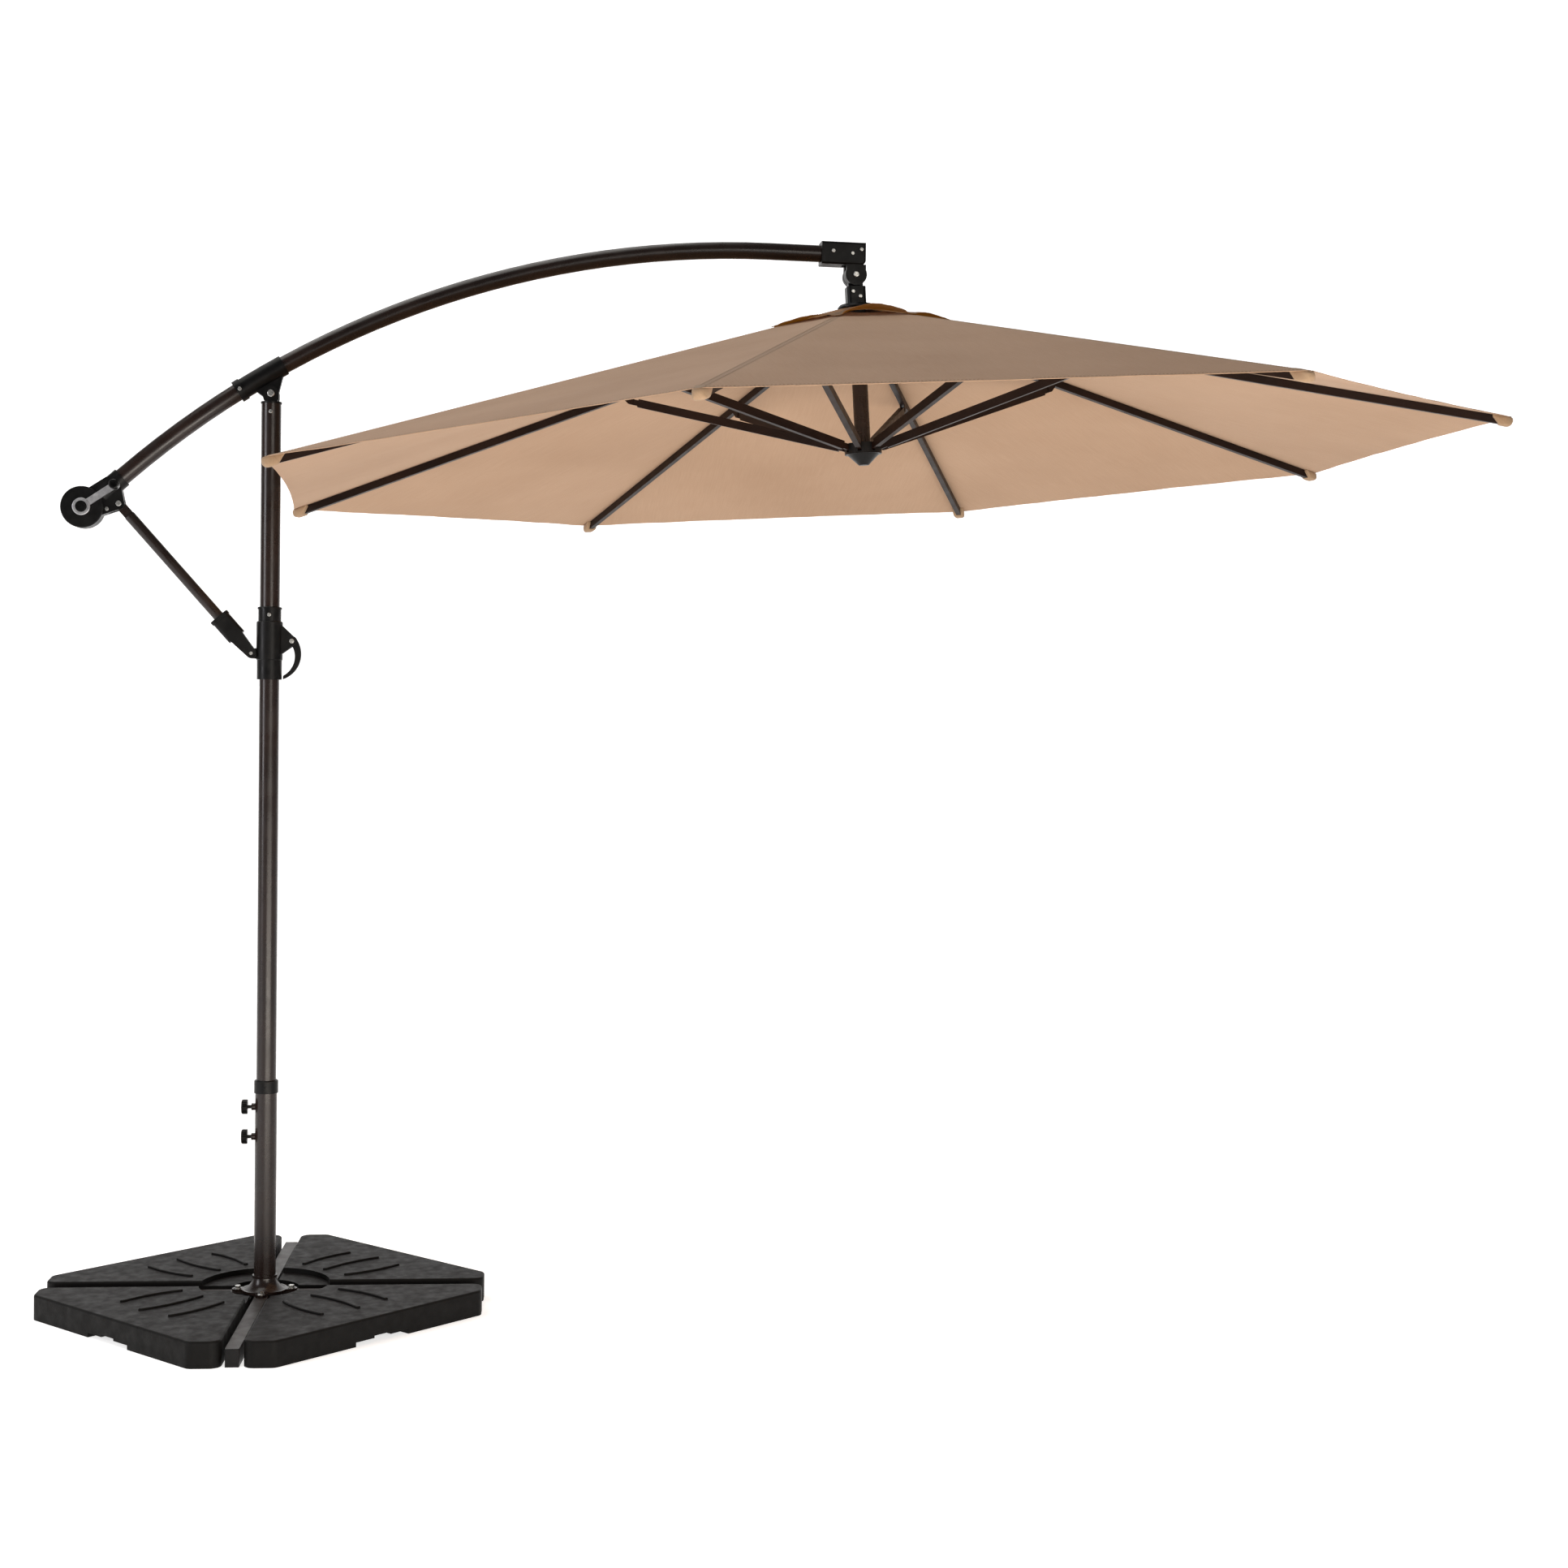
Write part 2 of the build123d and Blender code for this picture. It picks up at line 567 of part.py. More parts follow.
def winch_case(side):
    """Half of the winch housing: side -1 carries the crank, side +1 is the plain back half."""
    y0, y1 = (-CASE_HALF, 0.0) if side < 0 else (0.0, CASE_HALF)
    drum = slab(disc2(CRANK, CASE_R), y0, y1)
    face = drum.faces().sort_by(Axis.Y)[0 if side < 0 else -1]
    drum = fillet(face.edges(), 3)
    if side < 0:
        cover = slab(disc2(CRANK, COVER_R), -CASE_HALF - COVER_T, -CASE_HALF)
        drum += fillet(cover.faces().sort_by(Axis.Y)[0].edges(), 2)
    neck_line = hull(
        (CRANK, 30),
        (arm_point(ARM_REAR_X + 14), ARM_R + SADDLE_WALL - 1),
        (STRUT_TOP, CLEVIS_EAR_R),
    )
    neck = slab(neck_line, *((-NECK_HALF, 0) if side < 0 else (0, NECK_HALF)))
    sleeve = bent_round(ARM_REAR_X - 8, ARM_REAR_X + 38, ARM_R + SADDLE_WALL)
    half = bar_box(CRANK_X - 200, CRANK_X + 300, min(y0, y1) * 2, max(y0, y1) * 2, 1500, 2200)
    body = drum + neck + (sleeve & half)
    cavity_r = CASE_R - CASE_WALL
    inner = CASE_HALF - CASE_WALL
    body -= rod((CRANK[0], -inner, CRANK[1]), (0, 1, 0), cavity_r, 2 * inner)
    rope_way = Plane(
        origin=(ARM_REAR_X, 0, arm_z(ARM_REAR_X)),
        z_dir=(-cos(arm_slope(ARM_REAR_X)), 0, -sin(arm_slope(ARM_REAR_X))),
    )
    body -= rope_way * Cylinder(9, 60, align=MM)
    body -= bent_round(ARM_REAR_X, ARM_REAR_X + 60, ARM_R + SEATED)
    slot = STRUT_TONGUE_T / 2 + SLIDING
    body -= slab(strut_sweep_outline(), -slot, slot)
    body -= rod((STRUT_TOP[0], -60, STRUT_TOP[1]), (0, 1, 0), PIVOT_BOLT_R - 1 + SEATED, 120)
    if side < 0:
        body -= rod((CRANK[0], -60, CRANK[1]), (0, 1, 0), SHAFT_R + RUNNING, 60)
    else:
        body -= rod((CRANK[0], -1, CRANK[1]), (0, 1, 0), SHAFT_R + RUNNING, inner + 3)
    for place in case_screws():
        body -= screw_hole(place, (0, -1, 0))
    return body


def strut_sweep_outline():
    """The room that the strut's flattened end sweeps inside the housing's fork."""
    x, z = STRUT_TOP
    reach = 60.0
    room = disc2(STRUT_TOP, CLEVIS_EAR_R + 1.5)
    for turn in range(-112, -36, 8):
        far = (x + reach * cos(radians(turn)), z + reach * sin(radians(turn)))
        room += hull((STRUT_TOP, CLEVIS_EAR_R), (far, CLEVIS_EAR_R))
    return room


def case_screws():
    """Heads of the winch housing's screws: one on its neck, one on its sleeve round the arm."""
    x, z = arm_point(ARM_REAR_X + 8)
    return ((CRANK[0] + 54, -NECK_HALF, CRANK[1] - 2), (x, -ARM_R - SADDLE_WALL, z))


def elbow():
    """Moulded elbow on the arm's end: a level socket and a down-turned fork for the tilt knuckle."""
    half_w = ELBOW_HALF_WIDTH
    top = ARM_TOP_Z + ELBOW_HALF_HEIGHT
    bottom = ARM_TOP_Z - ELBOW_HALF_HEIGHT
    right = KNUCKLE_X + half_w
    left = KNUCKLE_X - half_w
    level = bar_box(ELBOW_FROM_X, right, -half_w - 2, half_w + 2, bottom, top)
    level = fillet(level.edges().filter_by(Axis.Y).sort_by(Axis.X)[-1], 13)
    level = fillet(level.edges().filter_by(Axis.X), 6)
    body = level + bar_box(left, right, -half_w, half_w, KNUCKLE_Z, bottom + 1)
    body += slab(disc2((KNUCKLE_X, KNUCKLE_Z), KNUCKLE_R), -half_w, half_w)
    slot = TONGUE_T / 2 + SLIDING
    body -= bar_box(left - 9, right + 9, -slot, slot, KNUCKLE_Z - 40, KNUCKLE_Z + KNUCKLE_R + 2)
    body -= bar_box(left + 3, right - 5, -slot, slot, KNUCKLE_Z, top - 5)
    body -= tube_bore_x(ELBOW_FROM_X - 1, ARM_END_X, ARM_R + SEATED)
    body -= tube_bore_x(ARM_END_X - 1, left + 4, ARM_R - 6)
    body -= rod((KNUCKLE_X, -60, KNUCKLE_Z), (0, 1, 0), TILT_BOLT_R + SEATED, 120)
    px, pz = pulley_centre()
    body -= rod((px, -60, pz), (0, 1, 0), PULLEY_PIN_R + SEATED, 120)
    for x, z, wide in elbow_screws():
        y = -half_w - (2 if wide else 0)
        body -= screw_hole((x, y, z), (0, -1, 0))
    return body


def tube_bore_x(x_from, x_to, radius):
    return rod((x_from, 0, ARM_TOP_Z), (1, 0, 0), radius, x_to - x_from)


def pulley_centre():
    return (KNUCKLE_X - PULLEY_BACK, KNUCKLE_Z + PULLEY_RISE)


def elbow_screws():
    """Places of the screws on the elbow's face, and whether they sit on its wide part."""
    return ((ELBOW_FROM_X + 28, ARM_TOP_Z + 4, True), (KNUCKLE_X + 12, ARM_TOP_Z + 10, True))


def arm_fasteners():
    """Screws and cross pins of the arm, each a separate piece."""
    pieces = []
    x, z = arm_point(SADDLE_FROM_X + SADDLE_COLLAR / 2)
    pieces.append(screw((x, -ARM_R - SADDLE_COLLAR_WALL, z), (0, -1, 0)))
    for place in case_screws():
        pieces.append(screw(place, (0, -1, 0)))
    for x, z, wide in elbow_screws():
        y = -ELBOW_HALF_WIDTH - (2 if wide else 0)
        pieces.append(screw((x, y, z), (0, -1, 0)))
    pieces.append(headed_bolt(STRUT_TOP, PIVOT_BOLT_R - 1, NECK_HALF, 6.5, 2.5))
    px, pz = pulley_centre()
    pieces.append(rod((px, -ELBOW_HALF_WIDTH, pz), (0, 1, 0), PULLEY_PIN_R, 2 * ELBOW_HALF_WIDTH))
    return group(pieces)


def saddle_with_hole(body):
    x, z = arm_point(SADDLE_FROM_X + SADDLE_COLLAR / 2)
    return body - screw_hole((x, -ARM_R - SADDLE_COLLAR_WALL, z), (0, -1, 0))


def elbow_pulley():
    """Grooved wheel inside the elbow that turns the winch rope downwards."""
    px, pz = pulley_centre()
    wheel = rod((px, -PULLEY_T / 2, pz), (0, 1, 0), PULLEY_R, PULLEY_T)
    groove = Plane(origin=(px, 0, pz), z_dir=(0, 1, 0)) * Torus(PULLEY_R + 1.5, 4)
    return wheel - groove - rod((px, -9, pz), (0, 1, 0), PULLEY_PIN_R + RUNNING, 18)


# ---------------------------------------------------------------- crank
def winch_spool():
    """Rope spool and its shaft."""
    x, z = CRANK
    body = rod((x, -SPOOL_HALF, z), (0, 1, 0), SPOOL_CORE_R, 2 * SPOOL_HALF)
    for side in (-1, 1):
        y = side * SPOOL_HALF
        body += rod((x, y, z), (0, -side, 0), SPOOL_FLANGE_R, SPOOL_FLANGE_T)
    body += rod((x, -CASE_HALF - COVER_T - 3, z), (0, 1, 0), SHAFT_R, CASE_HALF + COVER_T + 26)
    return body


def crank_handle():
    """Flat crank arm with a round boss on the shaft and a rounded head for the knob."""
    x, z = CRANK
    y1 = -CASE_HALF - COVER_T - 3
    y0 = y1 - CRANK_HUB_T
    tip = (x + CRANK_LENGTH * cos(radians(CRANK_ANGLE)), z + CRANK_LENGTH * sin(radians(CRANK_ANGLE)))
    boss = slab(disc2(CRANK, CRANK_HUB_R), y0, y1)
    boss = fillet(boss.faces().sort_by(Axis.Y)[0].edges(), 2)
    bar = slab(hull((CRANK, CRANK_WIDTH / 2), (tip, CRANK_WIDTH / 2)), y0 + 1, y0 + 1 + CRANK_T)
    head = slab(disc2(tip, CRANK_WIDTH / 2 + 3), y0, y1 - 1)
    body = boss + bar + head
    body -= slab(disc2(CRANK, HUB_CAP_R + SEATED), y0 - 1, y0 + 2)
    body -= rod((tip[0], y0 - 1, tip[1]), (0, 1, 0), KNOB_PIN_R + RUNNING, CRANK_HUB_T + 2)
    return body, tip, y0


def crank_hub_cap(y0):
    cap = slab(disc2(CRANK, HUB_CAP_R), y0 - 2, y0 + 2)
    return fillet(cap.faces().sort_by(Axis.Y)[0].edges(), 1.4)


def crank_knob(tip, y0):
    """Turning grip at the end of the crank, with its pin."""
    x, z = tip
    grip = rod((x, y0 - OPEN_GAP - CRANK_KNOB_LENGTH, z), (0, 1, 0), CRANK_KNOB_R, CRANK_KNOB_LENGTH)
    grip = fillet(grip.faces().sort_by(Axis.Y)[0].edges(), 3)
    grip -= rod((x, y0 - CRANK_KNOB_LENGTH - 1, z), (0, 1, 0), 5.0, 8)
    pin = rod((x, y0 - OPEN_GAP, z), (0, 1, 0), KNOB_PIN_R, CRANK_HUB_T - 0.5)
    return grip + pin


# ---------------------------------------------------------------- strut
def strut_tube():
    """Round tube, flattened at its top end to swing in the winch housing's fork."""
    length = STRUT_LENGTH - FITTING_STANDOFF - 12 - STRUT_TUBE_START
    plane = strut_plane(STRUT_TUBE_START)
    round_part = Plane(origin=plane.origin, z_dir=plane.x_dir)
    body = round_part * Cylinder(STRUT_R, length, align=MM)
    body -= round_part * Pos(0, 0, 8) * Cylinder(STRUT_R - TUBE_WALL, length, align=MM)
    flat = hull((STRUT_TOP, 11), (at_strut(STRUT_TUBE_START + 4), 11))
    body += slab(flat, -STRUT_TONGUE_T / 2, STRUT_TONGUE_T / 2)
    return body - rod((STRUT_TOP[0], -40, STRUT_TOP[1]), (0, 1, 0), PIVOT_BOLT_R - 1 + RUNNING, 80)


def strut_fitting():
    """Moulded socket on the strut's lower end, with the fork that turns on the slider's lug."""
    start = STRUT_LENGTH - FITTING_STANDOFF - FITTING_LENGTH
    plane = strut_plane(start)
    block = plane * Box(
        FITTING_LENGTH,
        2 * FITTING_HALF_DEPTH,
        2 * FITTING_HALF_WIDTH,
        align=(Align.MIN, Align.CENTER, Align.CENTER),
    )
    long_edges = block.edges().filter_by(lambda e: abs(e.length - FITTING_LENGTH) < 0.01)
    block = fillet(long_edges, 9)
    rim = plane * Box(
        8,
        2 * FITTING_HALF_DEPTH + 4,
        2 * FITTING_HALF_WIDTH + 4,
        align=(Align.MIN, Align.CENTER, Align.CENTER),
    )
    rim_edges = rim.edges().filter_by(lambda e: abs(e.length - 8) < 0.01)
    block += fillet(rim_edges, 10)
    root = at_strut(STRUT_LENGTH - FITTING_STANDOFF - 6)
    fork_line = hull((STRUT_FOOT, FORK_END_R), (root, FORK_ROOT_R))
    fork = slab(fork_line, -FITTING_HALF_DEPTH, FITTING_HALF_DEPTH)
    slot = LUG_T / 2 + SLIDING
    fork -= slab(disc2(STRUT_FOOT, LUG_R + 6), -slot, slot)
    body = block + fork
    bore = Plane(origin=plane.origin, z_dir=plane.x_dir)
    body -= bore * Cylinder(STRUT_R + SEATED, FITTING_LENGTH - 12 + SEATED, align=MM)
    return body - rod((STRUT_FOOT[0], -40, STRUT_FOOT[1]), (0, 1, 0), PIVOT_BOLT_R - 1 + SEATED, 80)


# ---------------------------------------------------------------- slider
def slider_body():
    """Sleeve that runs on the mast, with a lug for the strut behind and ears for the lever in front."""
    foot = STRUT_FOOT[1]
    lower = rod((0, 0, foot - SLIDER_BELOW), (0, 0, 1), SLIDER_R, SLIDER_BELOW + SLIDER_SLEEVE_TOP)
    upper_len = SLIDER_ABOVE - SLIDER_SLEEVE_TOP
    upper = rod((0, 0, foot + SLIDER_SLEEVE_TOP), (0, 0, 1), SLIDER_BODY_R, upper_len)
    upper = chamfer(upper.faces().sort_by(Axis.Z)[0].edges(), 1.2)
    upper = chamfer(upper.faces().sort_by(Axis.Z)[-1].edges(), 2)
    body = lower + upper
    lug = hull((STRUT_FOOT, LUG_R), ((-20, foot), LUG_R + 1))
    body += slab(lug, -LUG_T / 2, LUG_T / 2)
    pivot = (LEVER_PIVOT_X, foot + LEVER_PIVOT_RISE)
    top = (SLIDER_BODY_R - 8, foot + SLIDER_ABOVE - 8)
    gusset = hull((pivot, LEVER_HUB_R - 1), (top, 4), ((top[0], pivot[1] - 30), 4))
    cheek = LEVER_T / 2 + SLIDING
    for side in (-1, 1):
        y0, y1 = sorted((side * cheek, side * (cheek + 5)))
        body += slab(gusset, y0, y1)
    body -= rod((0, 0, foot - 200), (0, 0, 1), SLIDER_BORE_R, 400)
    pad_z = foot + LEVER_PIVOT_RISE
    body -= bar_box(
        10,
        40,
        -PAD_WIDTH / 2 - OPEN_GAP,
        PAD_WIDTH / 2 + OPEN_GAP,
        pad_z - PAD_HEIGHT / 2 - OPEN_GAP,
        pad_z + PAD_HEIGHT / 2 + OPEN_GAP,
    )
    body -= rod((STRUT_FOOT[0], -60, foot), (0, 1, 0), PIVOT_BOLT_R - 1 + RUNNING, 120)
    body -= rod((pivot[0], -60, pivot[1]), (0, 1, 0), LEVER_PIN_R + SEATED, 120)
    return body


def strut_pin():
    """Pin through the fork and the slider's lug, flush with the fork's sides."""
    start = (STRUT_FOOT[0], -FITTING_HALF_DEPTH, STRUT_FOOT[1])
    return rod(start, (0, 1, 0), PIVOT_BOLT_R - 1, 2 * FITTING_HALF_DEPTH)


def lever_pin():
    """The release lever's pin, with a domed head each side."""
    pivot = (LEVER_PIVOT_X, STRUT_FOOT[1] + LEVER_PIVOT_RISE)
    return headed_bolt(pivot, LEVER_PIN_R, LEVER_T / 2 + SLIDING + 5, 5.5, 2)


def grip_lever():
    """D-shaped lever that releases the slider; the fingers go between it and the sleeve."""
    foot = STRUT_FOOT[1]
    top = foot + LEVER_PIVOT_RISE
    tip = foot - SLIDER_BELOW + 1
    outline = make_face(
        [
            ThreePointArc((LEVER_PIVOT_X + 10, top + 6), (LEVER_OUT_X, top - 36), (LEVER_TIP_X, tip)),
            Line((LEVER_TIP_X, tip), (LEVER_TIP_X, tip + 8)),
            ThreePointArc((LEVER_TIP_X, tip + 8), (LEVER_IN_X, top - 38), (LEVER_PIVOT_X, top - 10)),
            Line((LEVER_PIVOT_X, top - 10), (LEVER_PIVOT_X + 10, top + 6)),
        ]
    )
    outline += disc2((LEVER_PIVOT_X, top), LEVER_HUB_R)
    body = slab(outline, -LEVER_T / 2, LEVER_T / 2)
    return body - rod((LEVER_PIVOT_X, -30, top), (0, 1, 0), LEVER_PIN_R + RUNNING, 60)


def lock_pad():
    """Nylon pad that the lever presses towards the mast."""
    z = STRUT_FOOT[1] + LEVER_PIVOT_RISE
    x0 = SLIDER_BORE_R
    x1 = LEVER_PIVOT_X - LEVER_HUB_R - 1.2
    return bar_box(
        x0, x1, -PAD_WIDTH / 2, PAD_WIDTH / 2, z - PAD_HEIGHT / 2, z + PAD_HEIGHT / 2
    )


# ---------------------------------------------------------------- canopy frame, drawn from the knuckle
def tilt_stem():
    """Lower half of the tilt knuckle: a tongue, a socket for the pole and the flange over the cloth."""
    body = slab(disc2((0, 0), KNUCKLE_R - 0.5), -TONGUE_T / 2, TONGUE_T / 2)
    body += bar_box(-18, 18, -TONGUE_T / 2, TONGUE_T / 2, STEM_TOP, 0)
    block = bar_box(-23, 23, -22, 22, STEM_BOTTOM, STEM_TOP)
    block = fillet(block.edges().filter_by(Axis.Z), 9)
    body += block
    flange = rod((0, 0, STEM_BOTTOM - STEM_FLANGE_T), (0, 0, 1), STEM_FLANGE_R, STEM_FLANGE_T)
    body += chamfer(flange.faces().sort_by(Axis.Z)[-1].edges(), 6, 5)
    body -= rod((0, 0, STEM_BOTTOM - STEM_FLANGE_T), (0, 0, 1), POLE_R + SEATED, 30)
    body -= rod((13, 0, -90), (0, 0, 1), 4, 80)
    body -= rod((0, -60, 0), (0, 1, 0), TILT_BOLT_R + RUNNING, 120)
    for place in stem_screws():
        body -= screw_hole(place, (0, -1, 0))
    return body


def stem_screws():
    return ((8, -22, -52), (-9, -22, -40))


def rivet_hole(z):
    """The hole of one hinge rivet in the hub or the runner, at angle 0."""
    start = (HINGE_R, -RIVET_LENGTH / 2 - 0.2, z)
    return rod(start, (0, 1, 0), RIVET_R + RUNNING, RIVET_LENGTH + 0.4)


def rib_hub():
    """Slotted ring that the ribs hang from."""
    pivot = -HUB_PIVOT_DROP
    height = HUB_TOP_RISE + HUB_DROP
    body = rod((0, 0, pivot - HUB_DROP), (0, 0, 1), HUB_R, height)
    body = chamfer(body.faces().sort_by(Axis.Z)[0].edges(), 3)
    body -= rod((0, 0, pivot - 40), (0, 0, 1), POLE_R + SEATED, 80)
    half = TONGUE_WIDTH / 2 + SLIDING
    for angle in RIB_ANGLES:
        cut = bar_box(HUB_SLOT_R, HUB_R + 5, -half, half, pivot - 30, pivot + 30)
        cut += rivet_hole(pivot)
        body -= Rot(0, 0, angle) * cut
    return body


def centre_pole():
    top = STEM_BOTTOM - STEM_FLANGE_T + 29
    bottom = -RUNNER_PIVOT_DROP - POLE_IN_RUNNER
    return tube((0, 0, bottom), (0, 0, 1), POLE_R, POLE_R - TUBE_WALL, top - bottom)


def box_tube(start, stop, width, height, wall):
    """A rectangular tube along local x."""
    body = bar_box(start, stop, -width / 2, width / 2, -height / 2, height / 2)
    inner = bar_box(
        start + 2, stop - 2, -width / 2 + wall, width / 2 - wall, -height / 2 + wall, height / 2 - wall
    )
    return body - inner


def rib(angle):
    """One rib: a rectangular tube with a rivetted tongue at the hub and a bracket for its stretcher."""
    body = box_tube(RIB_TUBE_START, RIB_LENGTH, RIB_WIDTH, RIB_HEIGHT, THIN_WALL)
    tongue = slab(
        hull(((0, 0), TONGUE_WIDTH), ((RIB_TUBE_START + 6, 0), TONGUE_WIDTH)),
        -TONGUE_WIDTH / 2,
        TONGUE_WIDTH / 2,
    )
    body += tongue - bar_box(
        RIB_TUBE_START + 2, RIB_TUBE_START + 60, -20, 20, -RIB_HEIGHT, RIB_HEIGHT
    )
    body += rod((0, -RIVET_LENGTH / 2, 0), (0, 1, 0), RIVET_R, RIVET_LENGTH)
    gap = TONGUE_WIDTH / 2 + SLIDING
    cheek_line = hull(
        ((ATTACH_ALONG, -BRACKET_DROP), 7),
        ((ATTACH_ALONG - BRACKET_LENGTH / 2 + 2, -RIB_HEIGHT / 2 + 1), 2),
        ((ATTACH_ALONG + BRACKET_LENGTH / 2 - 2, -RIB_HEIGHT / 2 + 1), 2),
    )
    pivot_bore = rod((ATTACH_ALONG, -20, -BRACKET_DROP), (0, 1, 0), RIVET_R + RUNNING, 40)
    inner_void = bar_box(
        ATTACH_ALONG - 30, ATTACH_ALONG + 30, -20, 20, -RIB_HEIGHT / 2 + THIN_WALL, RIB_HEIGHT
    )
    for side in (-1, 1):
        y0, y1 = sorted((side * gap, side * (gap + BRACKET_CHEEK)))
        body += slab(cheek_line, y0, y1) - pivot_bore - inner_void
    placed = Pos(HINGE_R, 0, -HUB_PIVOT_DROP) * Rot(0, degrees(rib_slope), 0) * body
    return Rot(0, 0, angle) * placed


def stretcher(angle):
    """One stretcher: from the rib's bracket in and down to the runner, with a rivet at each end."""
    end = STRETCHER_LENGTH
    stop = end - STRETCHER_TUBE_START - 4
    body = box_tube(STRETCHER_TUBE_START, stop, STRETCHER_WIDTH, STRETCHER_HEIGHT, THIN_WALL)
    for centre, reach in ((0, STRETCHER_TUBE_START + 5), (end, end - STRETCHER_TUBE_START - 9)):
        flat = slab(hull(((centre, 0), 7), ((reach, 0), 7)), -TONGUE_WIDTH / 2, TONGUE_WIDTH / 2)
        keep = bar_box(
            STRETCHER_TUBE_START + 2, end - STRETCHER_TUBE_START - 6, -20, 20, -20, 20
        )
        body += flat - keep
        rivet = RIVET_LENGTH if centre else RIVET_LENGTH - 1
        body += rod((centre, -rivet / 2, 0), (0, 1, 0), RIVET_R, rivet)
    attach_x = HINGE_R + STRETCHER_LENGTH * cos(attach_slope)
    attach_z = -HUB_PIVOT_DROP - STRETCHER_LENGTH * sin(attach_slope)
    placed = Pos(attach_x, 0, attach_z) * Rot(0, 180 - degrees(attach_slope), 0) * body
    return Rot(0, 0, angle) * placed


def runner():
    """Slotted ring and nose that the stretchers meet on; the pole's end sits in it when open."""
    pivot = -RUNNER_PIVOT_DROP
    body = rod((0, 0, pivot - 14), (0, 0, 1), RUNNER_R, 14 + RUNNER_TOP_RISE)
    body += Pos(0, 0, pivot - 14) * Rot(180, 0, 0) * Cone(RUNNER_R - 6, 12, RUNNER_NOSE - 14, align=MM)
    body -= rod((0, 0, pivot - POLE_IN_RUNNER - 1.5), (0, 0, 1), POLE_R + 1.0, 60)
    half = TONGUE_WIDTH / 2 + SLIDING
    for angle in RIB_ANGLES:
        cut = bar_box(HUB_SLOT_R + 1, RUNNER_R + 5, -half, half, pivot - 9, pivot + 30)
        cut += rivet_hole(pivot)
        body -= Rot(0, 0, angle) * cut
    return body


def cloth_z(radius):
    """Underside of the cloth over a rib, at a distance from the canopy's axis."""
    along = -HUB_PIVOT_DROP - (radius - HINGE_R) * tan(rib_slope)
    return along + RIB_HEIGHT / 2 / cos(rib_slope) + CLOTH_RISE


def cloth_shell(inner, outer, lift, pull):
    """Eight flat panels in one piece between two radii, the hem drawn in between the ribs."""
    shell = None
    for k, angle in enumerate(RIB_ANGLES):
        corners = []
        for radius, side in ((inner, 0), (outer, 0), (outer, 1), (inner, 1)):
            a = radians(angle + side * 360 / RIBS)
            corners.append(Vector(radius * cos(a), radius * sin(a), cloth_z(radius) + lift))
        middle = (corners[1] + corners[2]) / 2
        inward = ((corners[0] + corners[3]) / 2 - middle).normalized()
        outline = Polyline(
            corners[0], corners[1], middle + inward * pull, corners[2], corners[3], close=True
        )
        panel = extrude(make_face(outline), amount=CLOTH, dir=(0, 0, 1))
        shell = panel if shell is None else shell + panel
    return shell


# ---------------------------------------------------------------- build: base
save(BASE * base_bar(False), "cross_bar_long")
save(BASE * Rot(0, 0, 90) * base_bar(True), "cross_bar_short")
save(group([BASE * Rot(0, 0, 90 * k) * bar_cap() for k in range(4)]), "bar_end_caps")
for quarter, name in enumerate(("back_right", "back_left", "front_left", "front_right")):
    save(BASE * weight(quarter), f"weight_{name}")
save(BASE * post_flange(), "post_flange")
save(group([BASE * Rot(0, 0, 90 * k) * flange_bolt() for k in range(4)]), "flange_bolts")
save(post(), "lower_post")
save(post_collar(), "post_collar")
save(
    rod((0, 0, MAST_FOOT_Z - PLUG_HEIGHT), (0, 0, 1), POST_R - TUBE_WALL - SEATED, PLUG_HEIGHT - OPEN_GAP),
    "mast_stop_plug",
)
for z, name in zip(KNOB_HEIGHTS, ("lower", "upper")):
    save(clamp_knob(z), f"clamp_knob_{name}")

# ---------------------------------------------------------------- build: mast
save(mast_tube(), "mast_tube")
save(mast_top_cap(), "mast_top_cap")
save(stop_collar(), "slider_stop_collar")
save(mast_fasteners(), "mast_fasteners")

# ---------------------------------------------------------------- build: arm
save(arm_tube(), "arm_tube")
save(saddle_with_hole(arm_saddle()), "arm_saddle")
save(winch_case(-1), "winch_case_front")
save(winch_case(1), "winch_case_back")
save(elbow(), "elbow")
save(arm_fasteners(), "arm_fasteners")
save(elbow_pulley(), "elbow_pulley")

# ---------------------------------------------------------------- build: crank
save(winch_spool(), "winch_spool")
handle, knob_centre, handle_y = crank_handle()
save(handle, "crank_handle")
save(crank_hub_cap(handle_y), "crank_hub_cap")
save(crank_knob(knob_centre, handle_y), "crank_knob")

# ---------------------------------------------------------------- build: strut and slider
save(strut_tube(), "strut_tube")
save(strut_fitting(), "strut_fitting")
save(slider_body(), "slider_body")
save(strut_pin(), "strut_pin")
save(lever_pin(), "lever_pin")
save(grip_lever(), "grip_lever")
save(lock_pad(), "lock_pad")

# ---------------------------------------------------------------- build: canopy
save(CANOPY * tilt_stem(), "tilt_stem")
save(
    CANOPY * headed_bolt((0, 0), TILT_BOLT_R, ELBOW_HALF_WIDTH, 7, 3), "tilt_bolt"
)
save(group([CANOPY * screw(p, (0, -1, 0)) for p in stem_screws()]), "stem_screws")
save(CANOPY * rib_hub(), "rib_hub")
save(CANOPY * centre_pole(), "centre_pole")
save(CANOPY * runner(), "runner")
for number, angle in enumerate(RIB_ANGLES, start=1):
    save(CANOPY * rib(angle), f"rib_{number}")
    save(CANOPY * stretcher(angle), f"stretcher_{number}")
save(CANOPY * cloth_shell(VENT_R, CANOPY_RADIUS, 0.0, HEM_PULL), "canopy_cloth")
save(CANOPY * cloth_shell(HINGE_R, VENT_CAP_R, VENT_CAP_LIFT, 0.0), "vent_cap")

